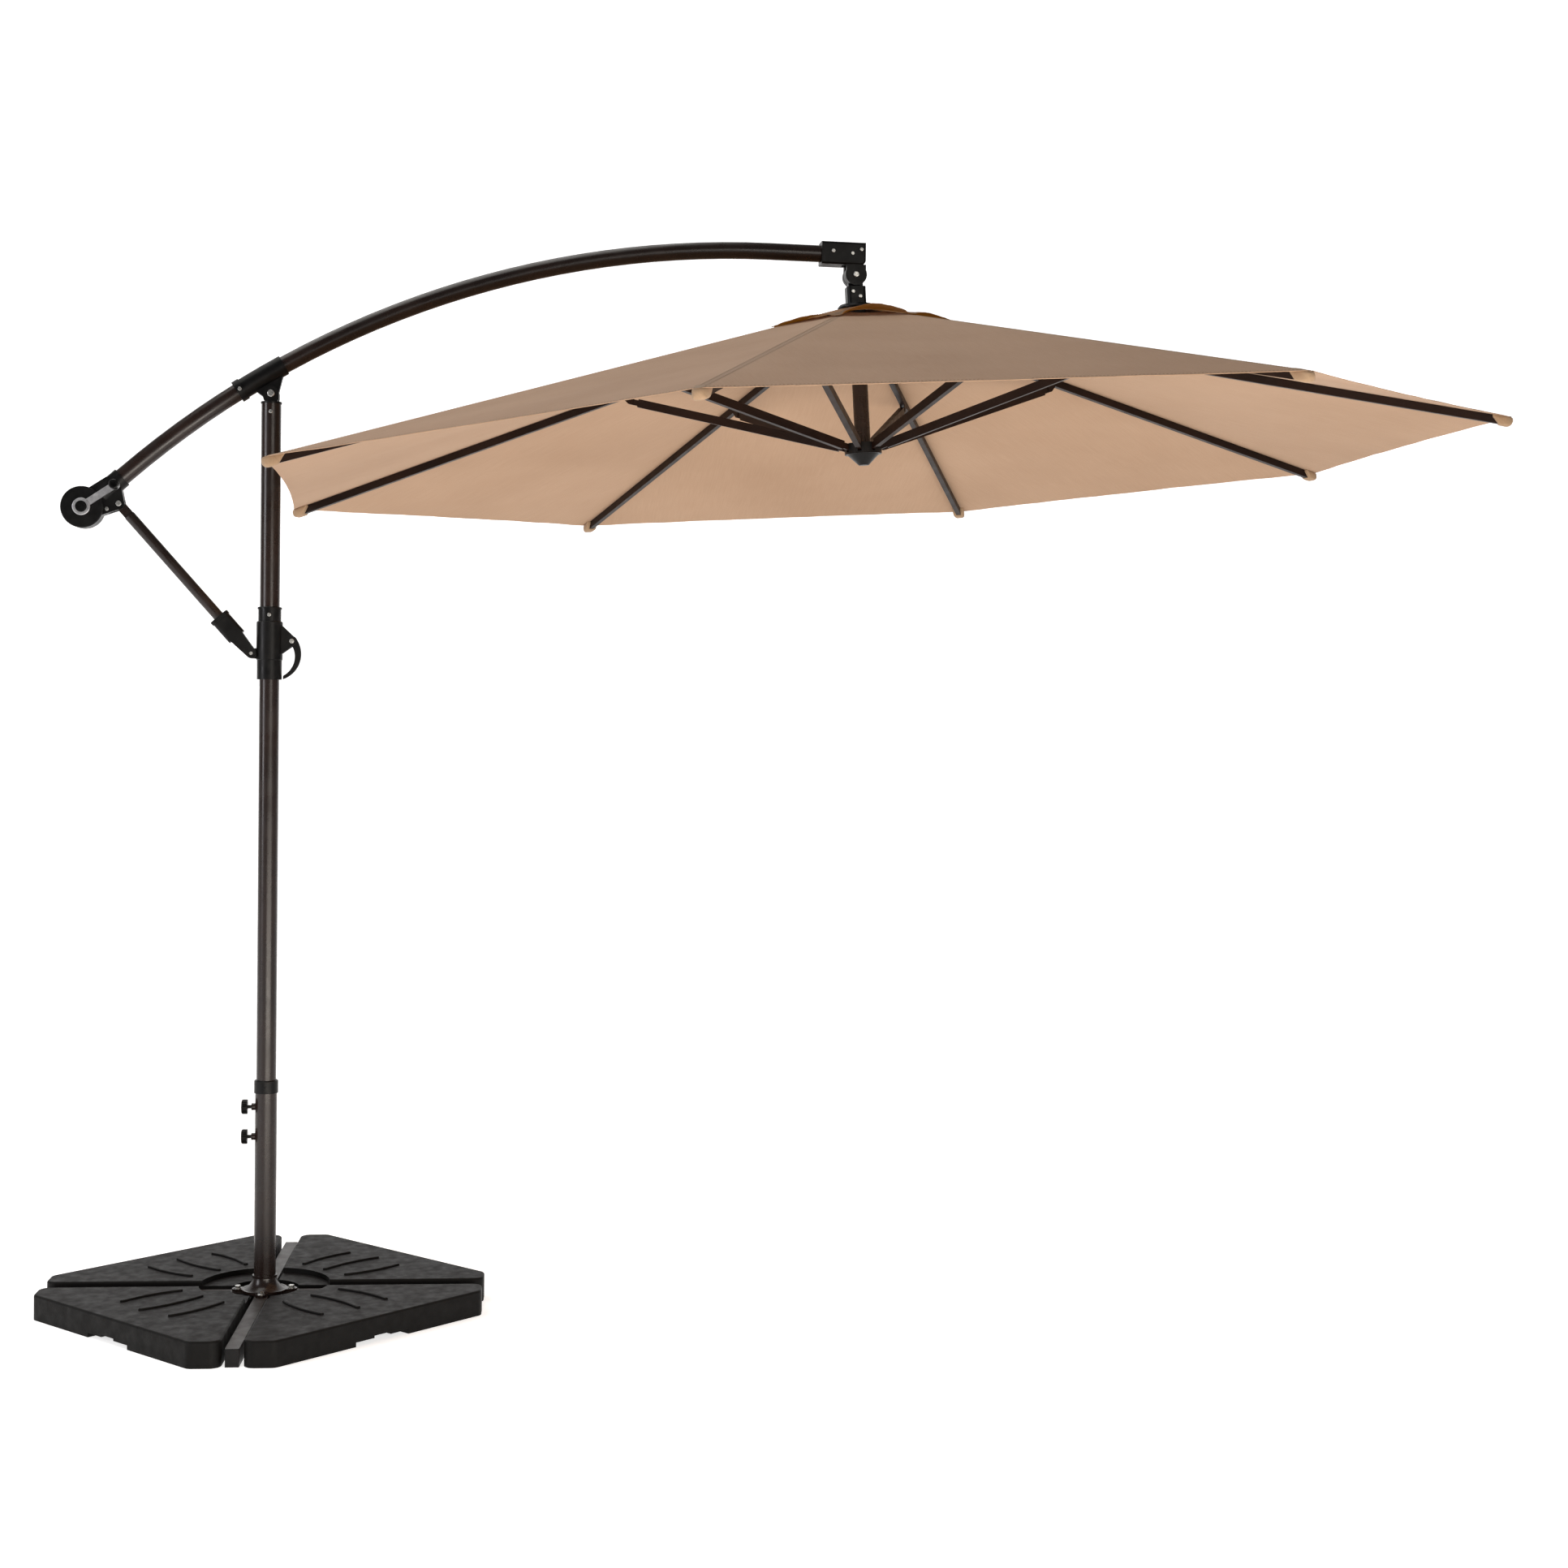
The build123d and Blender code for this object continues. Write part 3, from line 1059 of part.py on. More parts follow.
print(f"knuckle {KNUCKLE_X:.2f} {KNUCKLE_Z:.2f}, rib slope {degrees(rib_slope):.3f}")
print(f"attach slope {degrees(attach_slope):.3f}, stretcher {STRETCHER_LENGTH:.2f}")
print(f"runner pivots {RUNNER_PIVOT_DROP:.2f} below the knuckle, strut {STRUT_LENGTH:.2f}")
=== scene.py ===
"""Offset patio umbrella: its woven polyester canopy, powder-coated tubes, mouldings and studio."""

import json
import math
from collections import namedtuple

import bmesh
import bpy
import numpy as np
from mathutils import Matrix, Vector


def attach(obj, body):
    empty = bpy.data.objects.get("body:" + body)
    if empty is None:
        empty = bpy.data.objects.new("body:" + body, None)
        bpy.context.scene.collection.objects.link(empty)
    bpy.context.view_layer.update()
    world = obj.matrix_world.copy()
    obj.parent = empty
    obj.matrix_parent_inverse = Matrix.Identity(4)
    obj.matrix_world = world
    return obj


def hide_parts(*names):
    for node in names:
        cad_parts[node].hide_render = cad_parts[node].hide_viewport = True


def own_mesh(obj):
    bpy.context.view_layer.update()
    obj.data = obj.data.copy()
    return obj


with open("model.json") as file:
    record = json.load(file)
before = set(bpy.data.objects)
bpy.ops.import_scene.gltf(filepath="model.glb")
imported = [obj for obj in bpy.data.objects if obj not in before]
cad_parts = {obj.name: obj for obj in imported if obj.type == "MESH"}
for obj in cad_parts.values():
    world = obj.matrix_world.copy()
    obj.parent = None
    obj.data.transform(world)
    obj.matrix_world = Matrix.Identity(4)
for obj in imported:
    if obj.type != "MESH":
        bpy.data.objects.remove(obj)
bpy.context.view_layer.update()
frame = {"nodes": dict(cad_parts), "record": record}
nodes = frame["nodes"]

# ------------------------------------------------------------------ sizes, in metres
CANOPY_TILT = math.radians(3.7)
HUB_REACH = 1.405  # mast axis to the centre of the tip plane
TIP_HEIGHT = 2.0
KNUCKLE_RISE = 0.47  # tip plane to the knuckle that the canopy tilts on
CANOPY_RADIUS = 1.5
HUB_PIVOT_DROP = 0.094  # knuckle to the ribs' pivots
HINGE_RADIUS = 0.034  # canopy axis to the ribs' pivots
RIB_HEIGHT = 0.018
CLOTH_RISE = 0.0012  # cloth above the ribs
CLOTH = 0.0012  # drawn thicker than real cloth, so that it stays a closed sheet
RIBS = 8
HALF_PANEL = math.pi / RIBS
BAND = 0.0105  # half the width of the sewn band that lies flat on a rib
COLUMNS = 12  # columns of cloth from a rib to mid-panel
SETTLE_FRAMES = 24

# A sheet of cloth round the canopy's axis. hollow is how far a panel sags below flat, lift its height above
# the canopy's own line, and arch how far its hem rises between the two front ribs, less elsewhere.
Sheet = namedtuple("Sheet", "inner outer rows hem_pull hollow lift arch pucker stitch_inset")
CANOPY_SHEET = Sheet(
    inner=0.13,
    outer=CANOPY_RADIUS,
    rows=36,
    hem_pull=0.014,
    hollow=0.011,
    lift=0.0,
    arch=0.0,
    pucker=0.0013,
    stitch_inset=0.012,
)
VENT_SHEET = Sheet(
    inner=0.034,
    outer=0.243,
    rows=12,
    hem_pull=0.02,
    hollow=-0.002,
    lift=0.0042,
    arch=0.024,
    pucker=0.0008,
    stitch_inset=0.009,
)

POCKET_START = 1.458  # canopy axis to the open end of a tip pocket
POCKET_LENGTH = 0.044
POCKET_HALF_WIDTH = 0.0145
POCKET_FLARE = 0.003  # how much wider the open end is on each side
POCKET_DEPTH = 0.0245

STITCH_SPACING = 0.0075  # real stitches are 3 mm, too fine to show
STITCH_LENGTH = 0.005
STITCH_WIDTH = 0.0011

KNUCKLE = Vector(
    (
        HUB_REACH - KNUCKLE_RISE * math.sin(CANOPY_TILT),
        0,
        TIP_HEIGHT + KNUCKLE_RISE * math.cos(CANOPY_TILT),
    )
)
CANOPY = Matrix.Translation(KNUCKLE) @ Matrix.Rotation(-CANOPY_TILT, 4, "Y")
RIB_SLOPE = math.atan2(KNUCKLE_RISE - HUB_PIVOT_DROP, CANOPY_RADIUS - HINGE_RADIUS)
PANEL_SLOPE = math.tan(RIB_SLOPE) / math.cos(HALF_PANEL)
RIB_ANGLES = [HALF_PANEL * (1 + 2 * i) for i in range(RIBS)]

# Each column of a sheet: its rib, the side of the rib that it lies on, and its steps from the rib.
SHEET_COLUMNS = [
    (k, -1 if step < 0 else 1, abs(step))
    for k in range(RIBS)
    for step in range(-COLUMNS + 1, COLUMNS + 1)
]
ROUND = len(SHEET_COLUMNS)


# ------------------------------------------------------------------ colour and node helpers
def paint(code):
    """An sRGB hex colour as linear RGBA."""
    parts = [int(code[i : i + 2], 16) / 255 for i in (1, 3, 5)]
    linear = [c / 12.92 if c <= 0.04045 else ((c + 0.055) / 1.055) ** 2.4 for c in parts]
    return (*linear, 1.0)


def add(tree, kind, feeds=None, stops=(), **settings):
    """Adds a node with its settings, colour stops and inputs. A node as an input means its first output."""
    made = tree.nodes.new(kind)
    for key, value in settings.items():
        setattr(made, key, value)
    for k, (place, colour) in enumerate(stops):
        stop = made.color_ramp.elements[k] if k < 2 else made.color_ramp.elements.new(place)
        stop.position = place
        stop.color = paint(colour)
    for key, value in (feeds or {}).items():
        socket = made.inputs[key]
        if isinstance(value, bpy.types.Node):
            tree.links.new(value.outputs[0], socket)
        elif isinstance(value, bpy.types.NodeSocket):
            tree.links.new(value, socket)
        else:
            socket.default_value = value
    return made


def blank(name):
    """A new material with an empty tree, and its coordinates on the piece itself, in metres."""
    made = bpy.data.materials.new(name)
    made.use_nodes = True
    tree = made.node_tree
    tree.nodes.clear()
    return made, tree, add(tree, "ShaderNodeTexCoord").outputs["Object"]


def surface(tree, feeds):
    """Ends a material in a Principled surface with these inputs."""
    skin = add(tree, "ShaderNodeBsdfPrincipled", feeds)
    add(tree, "ShaderNodeOutputMaterial", {"Surface": skin})


# ------------------------------------------------------------------ materials
# The scale of a noise is its cells in a metre.


def powder_coat(name, dark, light, roughness, gloss):
    """Polyester powder coat on steel: semi-gloss, a faint orange peel about 2.5 mm across and fine fleck."""
    made, tree, place = blank(name)
    drift = add(tree, "ShaderNodeTexNoise", {"Vector": place, "Scale": 9, "Detail": 2})
    fleck = add(tree, "ShaderNodeTexNoise", {"Vector": place, "Scale": 1600, "Detail": 1})
    speck = add(tree, "ShaderNodeMapRange", {"Value": fleck, 1: 0.35, 2: 0.65, 3: -0.25, 4: 0.25})
    tone = add(tree, "ShaderNodeMath", {0: drift, 1: speck}, operation="ADD")
    colour = add(tree, "ShaderNodeValToRGB", {"Fac": tone}, stops=[(0.25, dark), (0.8, light)])
    wear = add(tree, "ShaderNodeTexNoise", {"Vector": place, "Scale": 26, "Detail": 4})
    rough = {"Value": wear, 1: 0.3, 2: 0.7, 3: roughness - 0.05, 4: roughness + 0.07}
    peel = add(tree, "ShaderNodeTexNoise", {"Vector": place, "Scale": 400, "Detail": 2})
    feeds = {
        "Base Color": colour,
        "Roughness": add(tree, "ShaderNodeMapRange", rough),
        "IOR": 1.5,
        "Specular IOR Level": gloss,
        "Normal": add(tree, "ShaderNodeBump", {"Height": peel, "Strength": 0.12, "Distance": 0.0004}),
    }
    surface(tree, feeds)
    return made


def moulded(name, dark, light, roughness, pit, depth):
    """Nylon or ABS from an etched mould: fine pits, a dull sheen and paler rubbed patches."""
    made, tree, place = blank(name)
    patches = {"Vector": place, "Scale": 14, "Detail": 5, "Roughness": 0.62}
    rubbed = add(tree, "ShaderNodeTexNoise", patches)
    colour = add(tree, "ShaderNodeValToRGB", {"Fac": rubbed}, stops=[(0.35, dark), (0.72, light)])
    wear = add(tree, "ShaderNodeTexNoise", {"Vector": place, "Scale": 60, "Detail": 4})
    rough = {"Value": wear, 1: 0.3, 2: 0.7, 3: roughness - 0.08, 4: roughness + 0.08}
    etch = {"Vector": place, "Scale": pit, "Detail": 3, "Roughness": 0.6}
    pits = {"Height": add(tree, "ShaderNodeTexNoise", etch), "Strength": 0.35, "Distance": depth}
    feeds = {
        "Base Color": colour,
        "Roughness": add(tree, "ShaderNodeMapRange", rough),
        "IOR": 1.5,
        "Specular IOR Level": 0.17,
        "Normal": add(tree, "ShaderNodeBump", pits),
    }
    surface(tree, feeds)
    return made


def weight_moulding():
    """Blow-moulded black polyethylene: pebbled skin about 3 mm across, and its upper faces drawn paler in
    cloudy patches.
    """
    made, tree, place = blank("weight_polyethylene")
    # Faces that look upward are coloured paler, in cloudy patches.
    facing = add(tree, "ShaderNodeNewGeometry").outputs["Normal"]
    upward = add(tree, "ShaderNodeSeparateXYZ", {0: facing}).outputs["Z"]
    top = add(tree, "ShaderNodeMapRange", {"Value": upward, 1: 0.55, 2: 0.98, 3: 0.0, 4: 1.0})
    drift = {"Vector": place, "Scale": 7, "Detail": 6, "Roughness": 0.65}
    cloud = add(tree, "ShaderNodeTexNoise", drift)
    thin = add(tree, "ShaderNodeMapRange", {"Value": cloud, 1: 0.3, 2: 0.72, 3: 0.35, 4: 1.0})
    upper_paleness = add(tree, "ShaderNodeMath", {0: top, 1: thin}, operation="MULTIPLY")
    colour = add(tree, "ShaderNodeValToRGB", {"Fac": upper_paleness}, stops=[(0.0, "#090807"), (1.0, "#191615")])
    wear = add(tree, "ShaderNodeTexNoise", {"Vector": place, "Scale": 45, "Detail": 5})
    rough = {"Value": wear, 1: 0.3, 2: 0.7, 3: 0.5, 4: 0.68}
    pebble = {"Vector": place, "Scale": 330.0}
    cells = add(tree, "ShaderNodeTexVoronoi", pebble, feature="SMOOTH_F1").outputs["Distance"]
    feeds = {
        "Base Color": colour,
        "Roughness": add(tree, "ShaderNodeMapRange", rough),
        "IOR": 1.51,
        "Specular IOR Level": 0.14,
        "Normal": add(tree, "ShaderNodeBump", {"Height": cells, "Strength": 0.3, "Distance": 0.0006}),
    }
    surface(tree, feeds)
    return made


def plated_steel():
    """Zinc-plated steel fasteners: bright grey metal with faint mottling and turning marks."""
    made, tree, place = blank("zinc_plated_steel")
    mottle = add(tree, "ShaderNodeTexNoise", {"Vector": place, "Scale": 300, "Detail": 3})
    colour = add(tree, "ShaderNodeValToRGB", {"Fac": mottle}, stops=[(0.3, "#9A9A98"), (0.7, "#D6D5D1")])
    marks = add(tree, "ShaderNodeTexNoise", {"Vector": place, "Scale": 900, "Detail": 2})
    rough = add(tree, "ShaderNodeMapRange", {"Value": marks, 1: 0.3, 2: 0.7, 3: 0.22, 4: 0.42})
    surface(tree, {"Base Color": colour, "Roughness": rough, "Metallic": 1.0})
    return made


def cast_aluminium():
    """Tumbled aluminium of the crank: satin grey metal, softly uneven."""
    made, tree, place = blank("tumbled_aluminium")
    cloud = add(tree, "ShaderNodeTexNoise", {"Vector": place, "Scale": 90, "Detail": 4})
    colour = add(tree, "ShaderNodeValToRGB", {"Fac": cloud}, stops=[(0.3, "#98989B"), (0.75, "#C6C6C8")])
    marks = add(tree, "ShaderNodeTexNoise", {"Vector": place, "Scale": 500, "Detail": 3})
    rough = add(tree, "ShaderNodeMapRange", {"Value": marks, 1: 0.3, 2: 0.7, 3: 0.3, 4: 0.48})
    dents = add(tree, "ShaderNodeBump", {"Height": cloud, "Strength": 0.1, "Distance": 0.0004})
    surface(tree, {"Base Color": colour, "Roughness": rough, "Metallic": 0.9, "Normal": dents})
    return made


def woven_polyester(name, face, shade, glow, lit):
    """Plain-woven polyester: matt, a 1.6 mm weave drawn coarse enough to show, light coming through it."""
    made, tree, place = blank(name)
    flat = add(tree, "ShaderNodeUVMap", uv_map="cloth")
    threads = {}
    for number, direction in enumerate("XY"):
        feeds = {"Vector": flat, "Scale": 196.0, "Distortion": 0.6, "Detail": 1.0, "Detail Scale": 3.0}
        wave = add(tree, "ShaderNodeTexWave", feeds, wave_type="BANDS", bands_direction=direction)
        threads[number] = wave.outputs["Fac"]
    weave = add(tree, "ShaderNodeMath", threads, operation="MULTIPLY")
    crossed = add(tree, "ShaderNodeMapRange", {"Value": weave, 1: 0.0, 2: 1.0, 3: -0.12, 4: 0.12})
    # Slubs are thick places in the yarn: streaks about 4 mm wide and 110 mm long.
    slub = add(tree, "ShaderNodeMapping", {"Vector": flat, "Scale": (260.0, 9.0, 1.0)})
    streak = add(tree, "ShaderNodeTexNoise", {"Vector": slub, "Scale": 1.0, "Detail": 3})
    streaks = add(tree, "ShaderNodeMapRange", {"Value": streak, 1: 0.3, 2: 0.7, 3: -0.1, 4: 0.1})
    cloud = add(tree, "ShaderNodeTexNoise", {"Vector": place, "Scale": 2.4, "Detail": 4})
    tone = add(tree, "ShaderNodeMath", {0: cloud, 1: streaks}, operation="ADD")
    tone = add(tree, "ShaderNodeMath", {0: tone, 1: crossed}, operation="ADD")
    worn = add(tree, "ShaderNodeValToRGB", {"Fac": tone}, stops=[(0.1, shade), (0.9, face)])
    # The sewn band over a rib is four layers thick, so less light comes through and it looks darker.
    across = add(tree, "ShaderNodeSeparateXYZ", {0: add(tree, "ShaderNodeUVMap", uv_map="seam")})
    seam = add(tree, "ShaderNodeMapRange", {"Value": across, 1: BAND * 0.8, 2: BAND * 1.35, 3: 0.86, 4: 1.0})
    dark = add(tree, "ShaderNodeCombineColor", {0: seam, 1: seam, 2: seam})
    layers = {0: 1.0, 6: worn, 7: dark}
    colour = add(tree, "ShaderNodeMix", layers, data_type="RGBA", blend_type="MULTIPLY").outputs[2]
    feeds = {
        "Base Color": colour,
        "Roughness": 0.86,
        "IOR": 1.45,
        "Sheen Weight": 0.08,
        "Sheen Roughness": 0.5,
        "Normal": add(tree, "ShaderNodeBump", {"Height": weave, "Strength": 0.25, "Distance": 0.0004}),
    }
    face_on = add(tree, "ShaderNodeBsdfPrincipled", feeds)
    through = add(tree, "ShaderNodeBsdfTranslucent", {"Color": paint(lit) if lit else colour})
    cloth = add(tree, "ShaderNodeMixShader", {0: glow, 1: face_on, 2: through})
    add(tree, "ShaderNodeOutputMaterial", {"Surface": cloth})
    return made


def thread():
    """Bonded polyester sewing thread: matt, a shade darker than the cloth, with its twist showing."""
    made, tree, place = blank("polyester_thread")
    twist = add(tree, "ShaderNodeTexNoise", {"Vector": place, "Scale": 1500, "Detail": 2})
    colour = add(tree, "ShaderNodeValToRGB", {"Fac": twist}, stops=[(0.3, "#8D7358"), (0.7, "#B0967A")])
    surface(tree, {"Base Color": colour, "Roughness": 0.6})
    return made


def studio_paper():
    """Matt white paper sweep, lit evenly enough to lose its edge."""
    made, tree, place = blank("white_paper_sweep")
    cloud = add(tree, "ShaderNodeTexNoise", {"Vector": place, "Scale": 2, "Detail": 2})
    colour = add(tree, "ShaderNodeValToRGB", {"Fac": cloud}, stops=[(0.3, "#F4F3F2"), (0.7, "#F8F7F6")])
    feeds = {
        "Base Color": colour,
        "Roughness": 0.95,
        "Specular IOR Level": 0.0,
        "Emission Color": paint("#FFFFFF"),
        "Emission Strength": 0.66,
    }
    surface(tree, feeds)
    return made


BROWN = powder_coat("bronze_powder_coat", "#140B08", "#241610", 0.27, 0.42)
RIB_BROWN = powder_coat("rib_powder_coat", "#140A07", "#23140D", 0.42, 0.16)
BAR_BROWN = powder_coat("bar_powder_coat", "#211A17", "#38302B", 0.42, 0.3)
BLACK = moulded("black_glass_filled_nylon", "#080808", "#141313", 0.36, 1100, 0.0003)
GLOSS = moulded("gloss_black_abs", "#0A0A0A", "#151515", 0.2, 500, 0.0001)
NYLON = moulded("natural_nylon", "#B7B2A4", "#D8D4C8", 0.45, 700, 0.0002)
WEIGHT = weight_moulding()
STEEL = plated_steel()
CRANK = cast_aluminium()
CLOTH_FACE = woven_polyester("tan_woven_polyester", "#C2A184", "#B08E70", 0.24, None)
VENT_FACE = woven_polyester("tan_vent_polyester", "#B99C7E", "#A38666", 0.55, "#C99C34")
FOLDED = woven_polyester("folded_woven_polyester", "#A98D70", "#90755A", 0.04, None)
THREAD = thread()
PAPER = studio_paper()

FINISHES = {
    "frame_brown": BROWN,
    "base_brown": BAR_BROWN,
    "black_moulding": BLACK,
    "gloss_black": GLOSS,
    "weight_black": WEIGHT,
    "bright_steel": STEEL,
    "crank_grey": CRANK,
    "nylon": NYLON,
    "canopy_fabric": CLOTH_FACE,
}
for row in frame["record"]["subparts"]:
    shown = nodes[row["node"]]
    finish = FINISHES[row["material_slot"]]
    if row["node"].startswith(("rib_", "stretcher_")) and row["node"] != "rib_hub":
        finish = RIB_BROWN
    shown.data.materials.clear()
    shown.data.materials.append(finish)


# ------------------------------------------------------------------ canopy shape, in the canopy's own frame
def ridge_height(radius):
    """Height of the cloth over a rib, from the knuckle."""
    along = -HUB_PIVOT_DROP - (radius - HINGE_RADIUS) * math.tan(RIB_SLOPE)
    return along + RIB_HEIGHT / 2 / math.cos(RIB_SLOPE) + CLOTH_RISE


def hem_radius(sheet, angle):
    """Distance of the hem from the canopy's axis at an angle from the nearest rib."""
    away = HALF_PANEL - abs(angle)
    straight = sheet.outer * math.cos(HALF_PANEL) / math.cos(away)
    return straight - sheet.hem_pull * (1 - (away / HALF_PANEL) ** 2)


def half_row(sheet, share):
    """Points of one row from a rib to mid-panel: (angle, radius) pairs, the second on the band's edge."""
    reach = sheet.inner + share * (hem_radius(sheet, 0) - sheet.inner)
    edge = min(math.asin(min(0.9, BAND / max(reach, BAND * 1.5))), HALF_PANEL * 0.8)
    angles = [0.0] + [edge + (HALF_PANEL - edge) * k / (COLUMNS - 1) for k in range(COLUMNS)]
    return [(angle, sheet.inner + share * (hem_radius(sheet, angle) - sheet.inner)) for angle in angles]


def panel_point(sheet, rib, side, angle, radius, share):
    """A point on a panel beside a rib, sagged below flat and lifted along its hem."""
    across = HALF_PANEL - angle
    flat = ridge_height(0) - PANEL_SLOPE * radius * math.cos(across)
    middle = 1 - (across / HALF_PANEL) ** 2
    sag = sheet.hollow * middle * math.sin(min(1.0, radius / CANOPY_RADIUS) * math.pi * 0.62) ** 2
    lifted = 0.3 + 0.7 * max(0.0, -math.sin(rib + side * HALF_PANEL)) ** 6
    height = flat - sag + sheet.lift + sheet.arch * lifted * middle * share**3
    if radius * math.sin(angle) <= BAND * 1.001:
        height = ridge_height(radius * math.cos(angle)) + sheet.lift
    turned = rib + side * angle
    return (radius * math.cos(turned), radius * math.sin(turned), height)


def sheet_grid(sheet):
    """The whole sheet, welded round the axis: points, flat (angle, radius) places, and which are sewn."""
    points, flats, sewn = [], [], []
    for r in range(sheet.rows + 1):
        share = r / sheet.rows
        row = half_row(sheet, share)
        for k, side, step in SHEET_COLUMNS:
            angle, radius = row[step]
            points.append(panel_point(sheet, RIB_ANGLES[k], side, angle, radius, share))
            flats.append((angle, radius))
            sewn.append(step <= 1 or r == 0)
    return points, flats, sewn


def new_mesh(name, points, faces):
    """A mesh object of these points and faces, at the origin."""
    data = bpy.data.meshes.new(name)
    data.from_pydata([tuple(p) for p in points], [], faces)
    data.update()
    made = bpy.data.objects.new(name, data)
    bpy.context.scene.collection.objects.link(made)
    return made


def cloth_settle(sheet, points, sewn):
    """Lets the sheet tighten and sag under its own weight between the ribs, with its sewn points held."""
    faces = []
    for r in range(sheet.rows):
        for c in range(ROUND):
            n = (c + 1) % ROUND
            here, below = r * ROUND, (r + 1) * ROUND
            faces.append((here + c, below + c, below + n, here + n))
    loose = new_mesh("canopy_sheet", points, faces)
    group = loose.vertex_groups.new(name="sewn")
    group.add([i for i, held in enumerate(sewn) if held], 1.0, "REPLACE")
    drape = loose.modifiers.new("drape", "CLOTH")
    drape.settings.quality = 6
    drape.settings.mass = 0.02
    drape.settings.tension_stiffness = 30
    drape.settings.compression_stiffness = 30
    drape.settings.shear_stiffness = 12
    drape.settings.bending_stiffness = 0.3
    drape.settings.shrink_min = 0.004
    drape.settings.vertex_group_mass = "sewn"
    drape.collision_settings.use_collision = False
    drape.point_cache.frame_start = 1
    drape.point_cache.frame_end = SETTLE_FRAMES
    for number in range(1, SETTLE_FRAMES + 1):
        bpy.context.scene.frame_set(number)
    graph = bpy.context.evaluated_depsgraph_get()
    settled = np.zeros(len(loose.data.vertices) * 3)
    loose.evaluated_get(graph).data.vertices.foreach_get("co", settled)
    bpy.data.objects.remove(loose)
    bpy.context.scene.frame_set(1)
    return settled.reshape(-1, 3)


def smooth_noise(x, y, seed):
    """A small sum of waves that never repeats, for puckers in the cloth."""
    total = 0.0
    for k in range(4):
        a = seed * 1.7 + k * 2.399
        total += math.sin(x * math.cos(a) * (1 + 0.6 * k) + y * math.sin(a) * (1 + 0.6 * k) + seed * (k + 1))
    return total / 4


def sewn_puckers(sheet, points, flats):
    """The sheet as a grid of rows and columns, with the small gathers that stitching always leaves."""
    out = np.array(points)
    size = sheet.pucker
    for r in range(sheet.rows + 1):
        for c, (k, side, step) in enumerate(SHEET_COLUMNS):
            if step <= 1:
                continue
            angle, radius = flats[r * ROUND + c]
            near_seam = math.exp(-max(0.0, radius * math.sin(angle) - BAND) / 0.05)
            near_hem = math.exp(-(1 - r / sheet.rows) * 9)
            along_seam = smooth_noise(radius * 55, k * 3 + side, 3 + k)
            out[r * ROUND + c, 2] += size * near_seam * along_seam * 0.8
            along_hem = smooth_noise(angle * 40, radius * 6 + k, 11 + k)
            out[r * ROUND + c, 2] += size * near_hem * along_hem * 0.9
            out[r * ROUND + c, 2] += size * 0.9 * smooth_noise(radius * 4.2, angle * 5 + k * 2, 23 + k)
    return out.reshape(sheet.rows + 1, ROUND, 3)


# ------------------------------------------------------------------ wings: a sheet cut at mid-panel
def sheet_normals(grid):
    """The upward normal of the whole sheet at each of its points."""
    east = np.roll(grid, -1, 1) - np.roll(grid, 1, 1)
    out = np.gradient(grid, axis=0)
    upward = np.cross(out, east)
    upward /= np.linalg.norm(upward, axis=2)[:, :, None]
    return upward * np.where(upward[:, :, 2:] < 0, -1, 1)


def wing_faces(rows, across):
    """Faces of a closed wing: its top and underside, then the rim that joins them."""
    layer = (rows + 1) * across
    faces = []
    for r in range(rows):
        for c in range(across - 1):
            a, b = r * across + c, (r + 1) * across + c
            faces.append((a, b, b + 1, a + 1))
            faces.append((a + layer, a + 1 + layer, b + 1 + layer, b + layer))
    rim = [(r * across, (r + 1) * across) for r in range(rows)]
    rim += [((rows * across + c), (rows * across + c + 1)) for c in range(across - 1)]
    rim += [((r + 1) * across + across - 1, r * across + across - 1) for r in range(rows)]
    rim += [(c + 1, c) for c in range(across - 1)]
    return faces + [(b, a, a + layer, b + layer) for a, b in rim]


def lay_flat(piece, layer_name, places):
    """Gives a piece a UV map, from a flat place for each of its vertices."""
    layer = piece.data.uv_layers.new(name=layer_name)
    for loop in piece.data.loops:
        layer.data[loop.index].uv = places[loop.vertex_index]


def keep_sheet_normals(wing, normals, two_sided):
    """Shades a wing's first faces, its top and underside, as the uncut sheet, and its rim flat."""
    corners = np.zeros((len(wing.data.loops), 3))
    for polygon in wing.data.polygons:
        for loop in polygon.loop_indices:
            if polygon.index < two_sided:
                corners[loop] = normals[wing.data.loops[loop].vertex_index]
            else:
                corners[loop] = polygon.normal
    wing.data.normals_split_custom_set(corners.tolist())


def wing(name, k, sheet, grid, flats, finish):
    """A rib's wing of a sheet: closed, as thick as the cloth, shaded across its cuts as the uncut sheet."""
    matrix = np.array(CANOPY)
    width = 2 * COLUMNS
    picks = [(k * width + s - 1) % ROUND for s in range(width + 1)]
    top = grid[:, picks, :]
    lean = sheet_normals(grid)[:, picks, :]
    both = [top + lean * CLOTH / 2, top - lean * CLOTH / 2]
    verts = np.concatenate([layer.reshape(-1, 3) for layer in both])
    world = verts @ matrix[:3, :3].T + matrix[:3, 3]
    made = new_mesh(f"{name}_{k + 1}", world, wing_faces(sheet.rows, len(picks)))

    slope = math.cos(math.atan(PANEL_SLOPE))
    cloth_places, seam_places = [], []
    for r in range(sheet.rows + 1):
        for c in picks:
            angle, radius = flats[r * ROUND + c]
            side = SHEET_COLUMNS[c][1] if SHEET_COLUMNS[c][0] == k else -1
            away = HALF_PANEL - angle
            cloth_places.append((-side * radius * math.sin(away), radius * math.cos(away) / slope))
            seam_places.append((radius * math.sin(angle), radius))
    lay_flat(made, "cloth", cloth_places * 2)
    lay_flat(made, "seam", seam_places * 2)
    made.data.materials.append(finish)
    made.data.shade_smooth()
    turned = lean.reshape(-1, 3) @ matrix[:3, :3].T
    keep_sheet_normals(made, np.concatenate([turned, -turned]), 2 * sheet.rows * width)
    return made


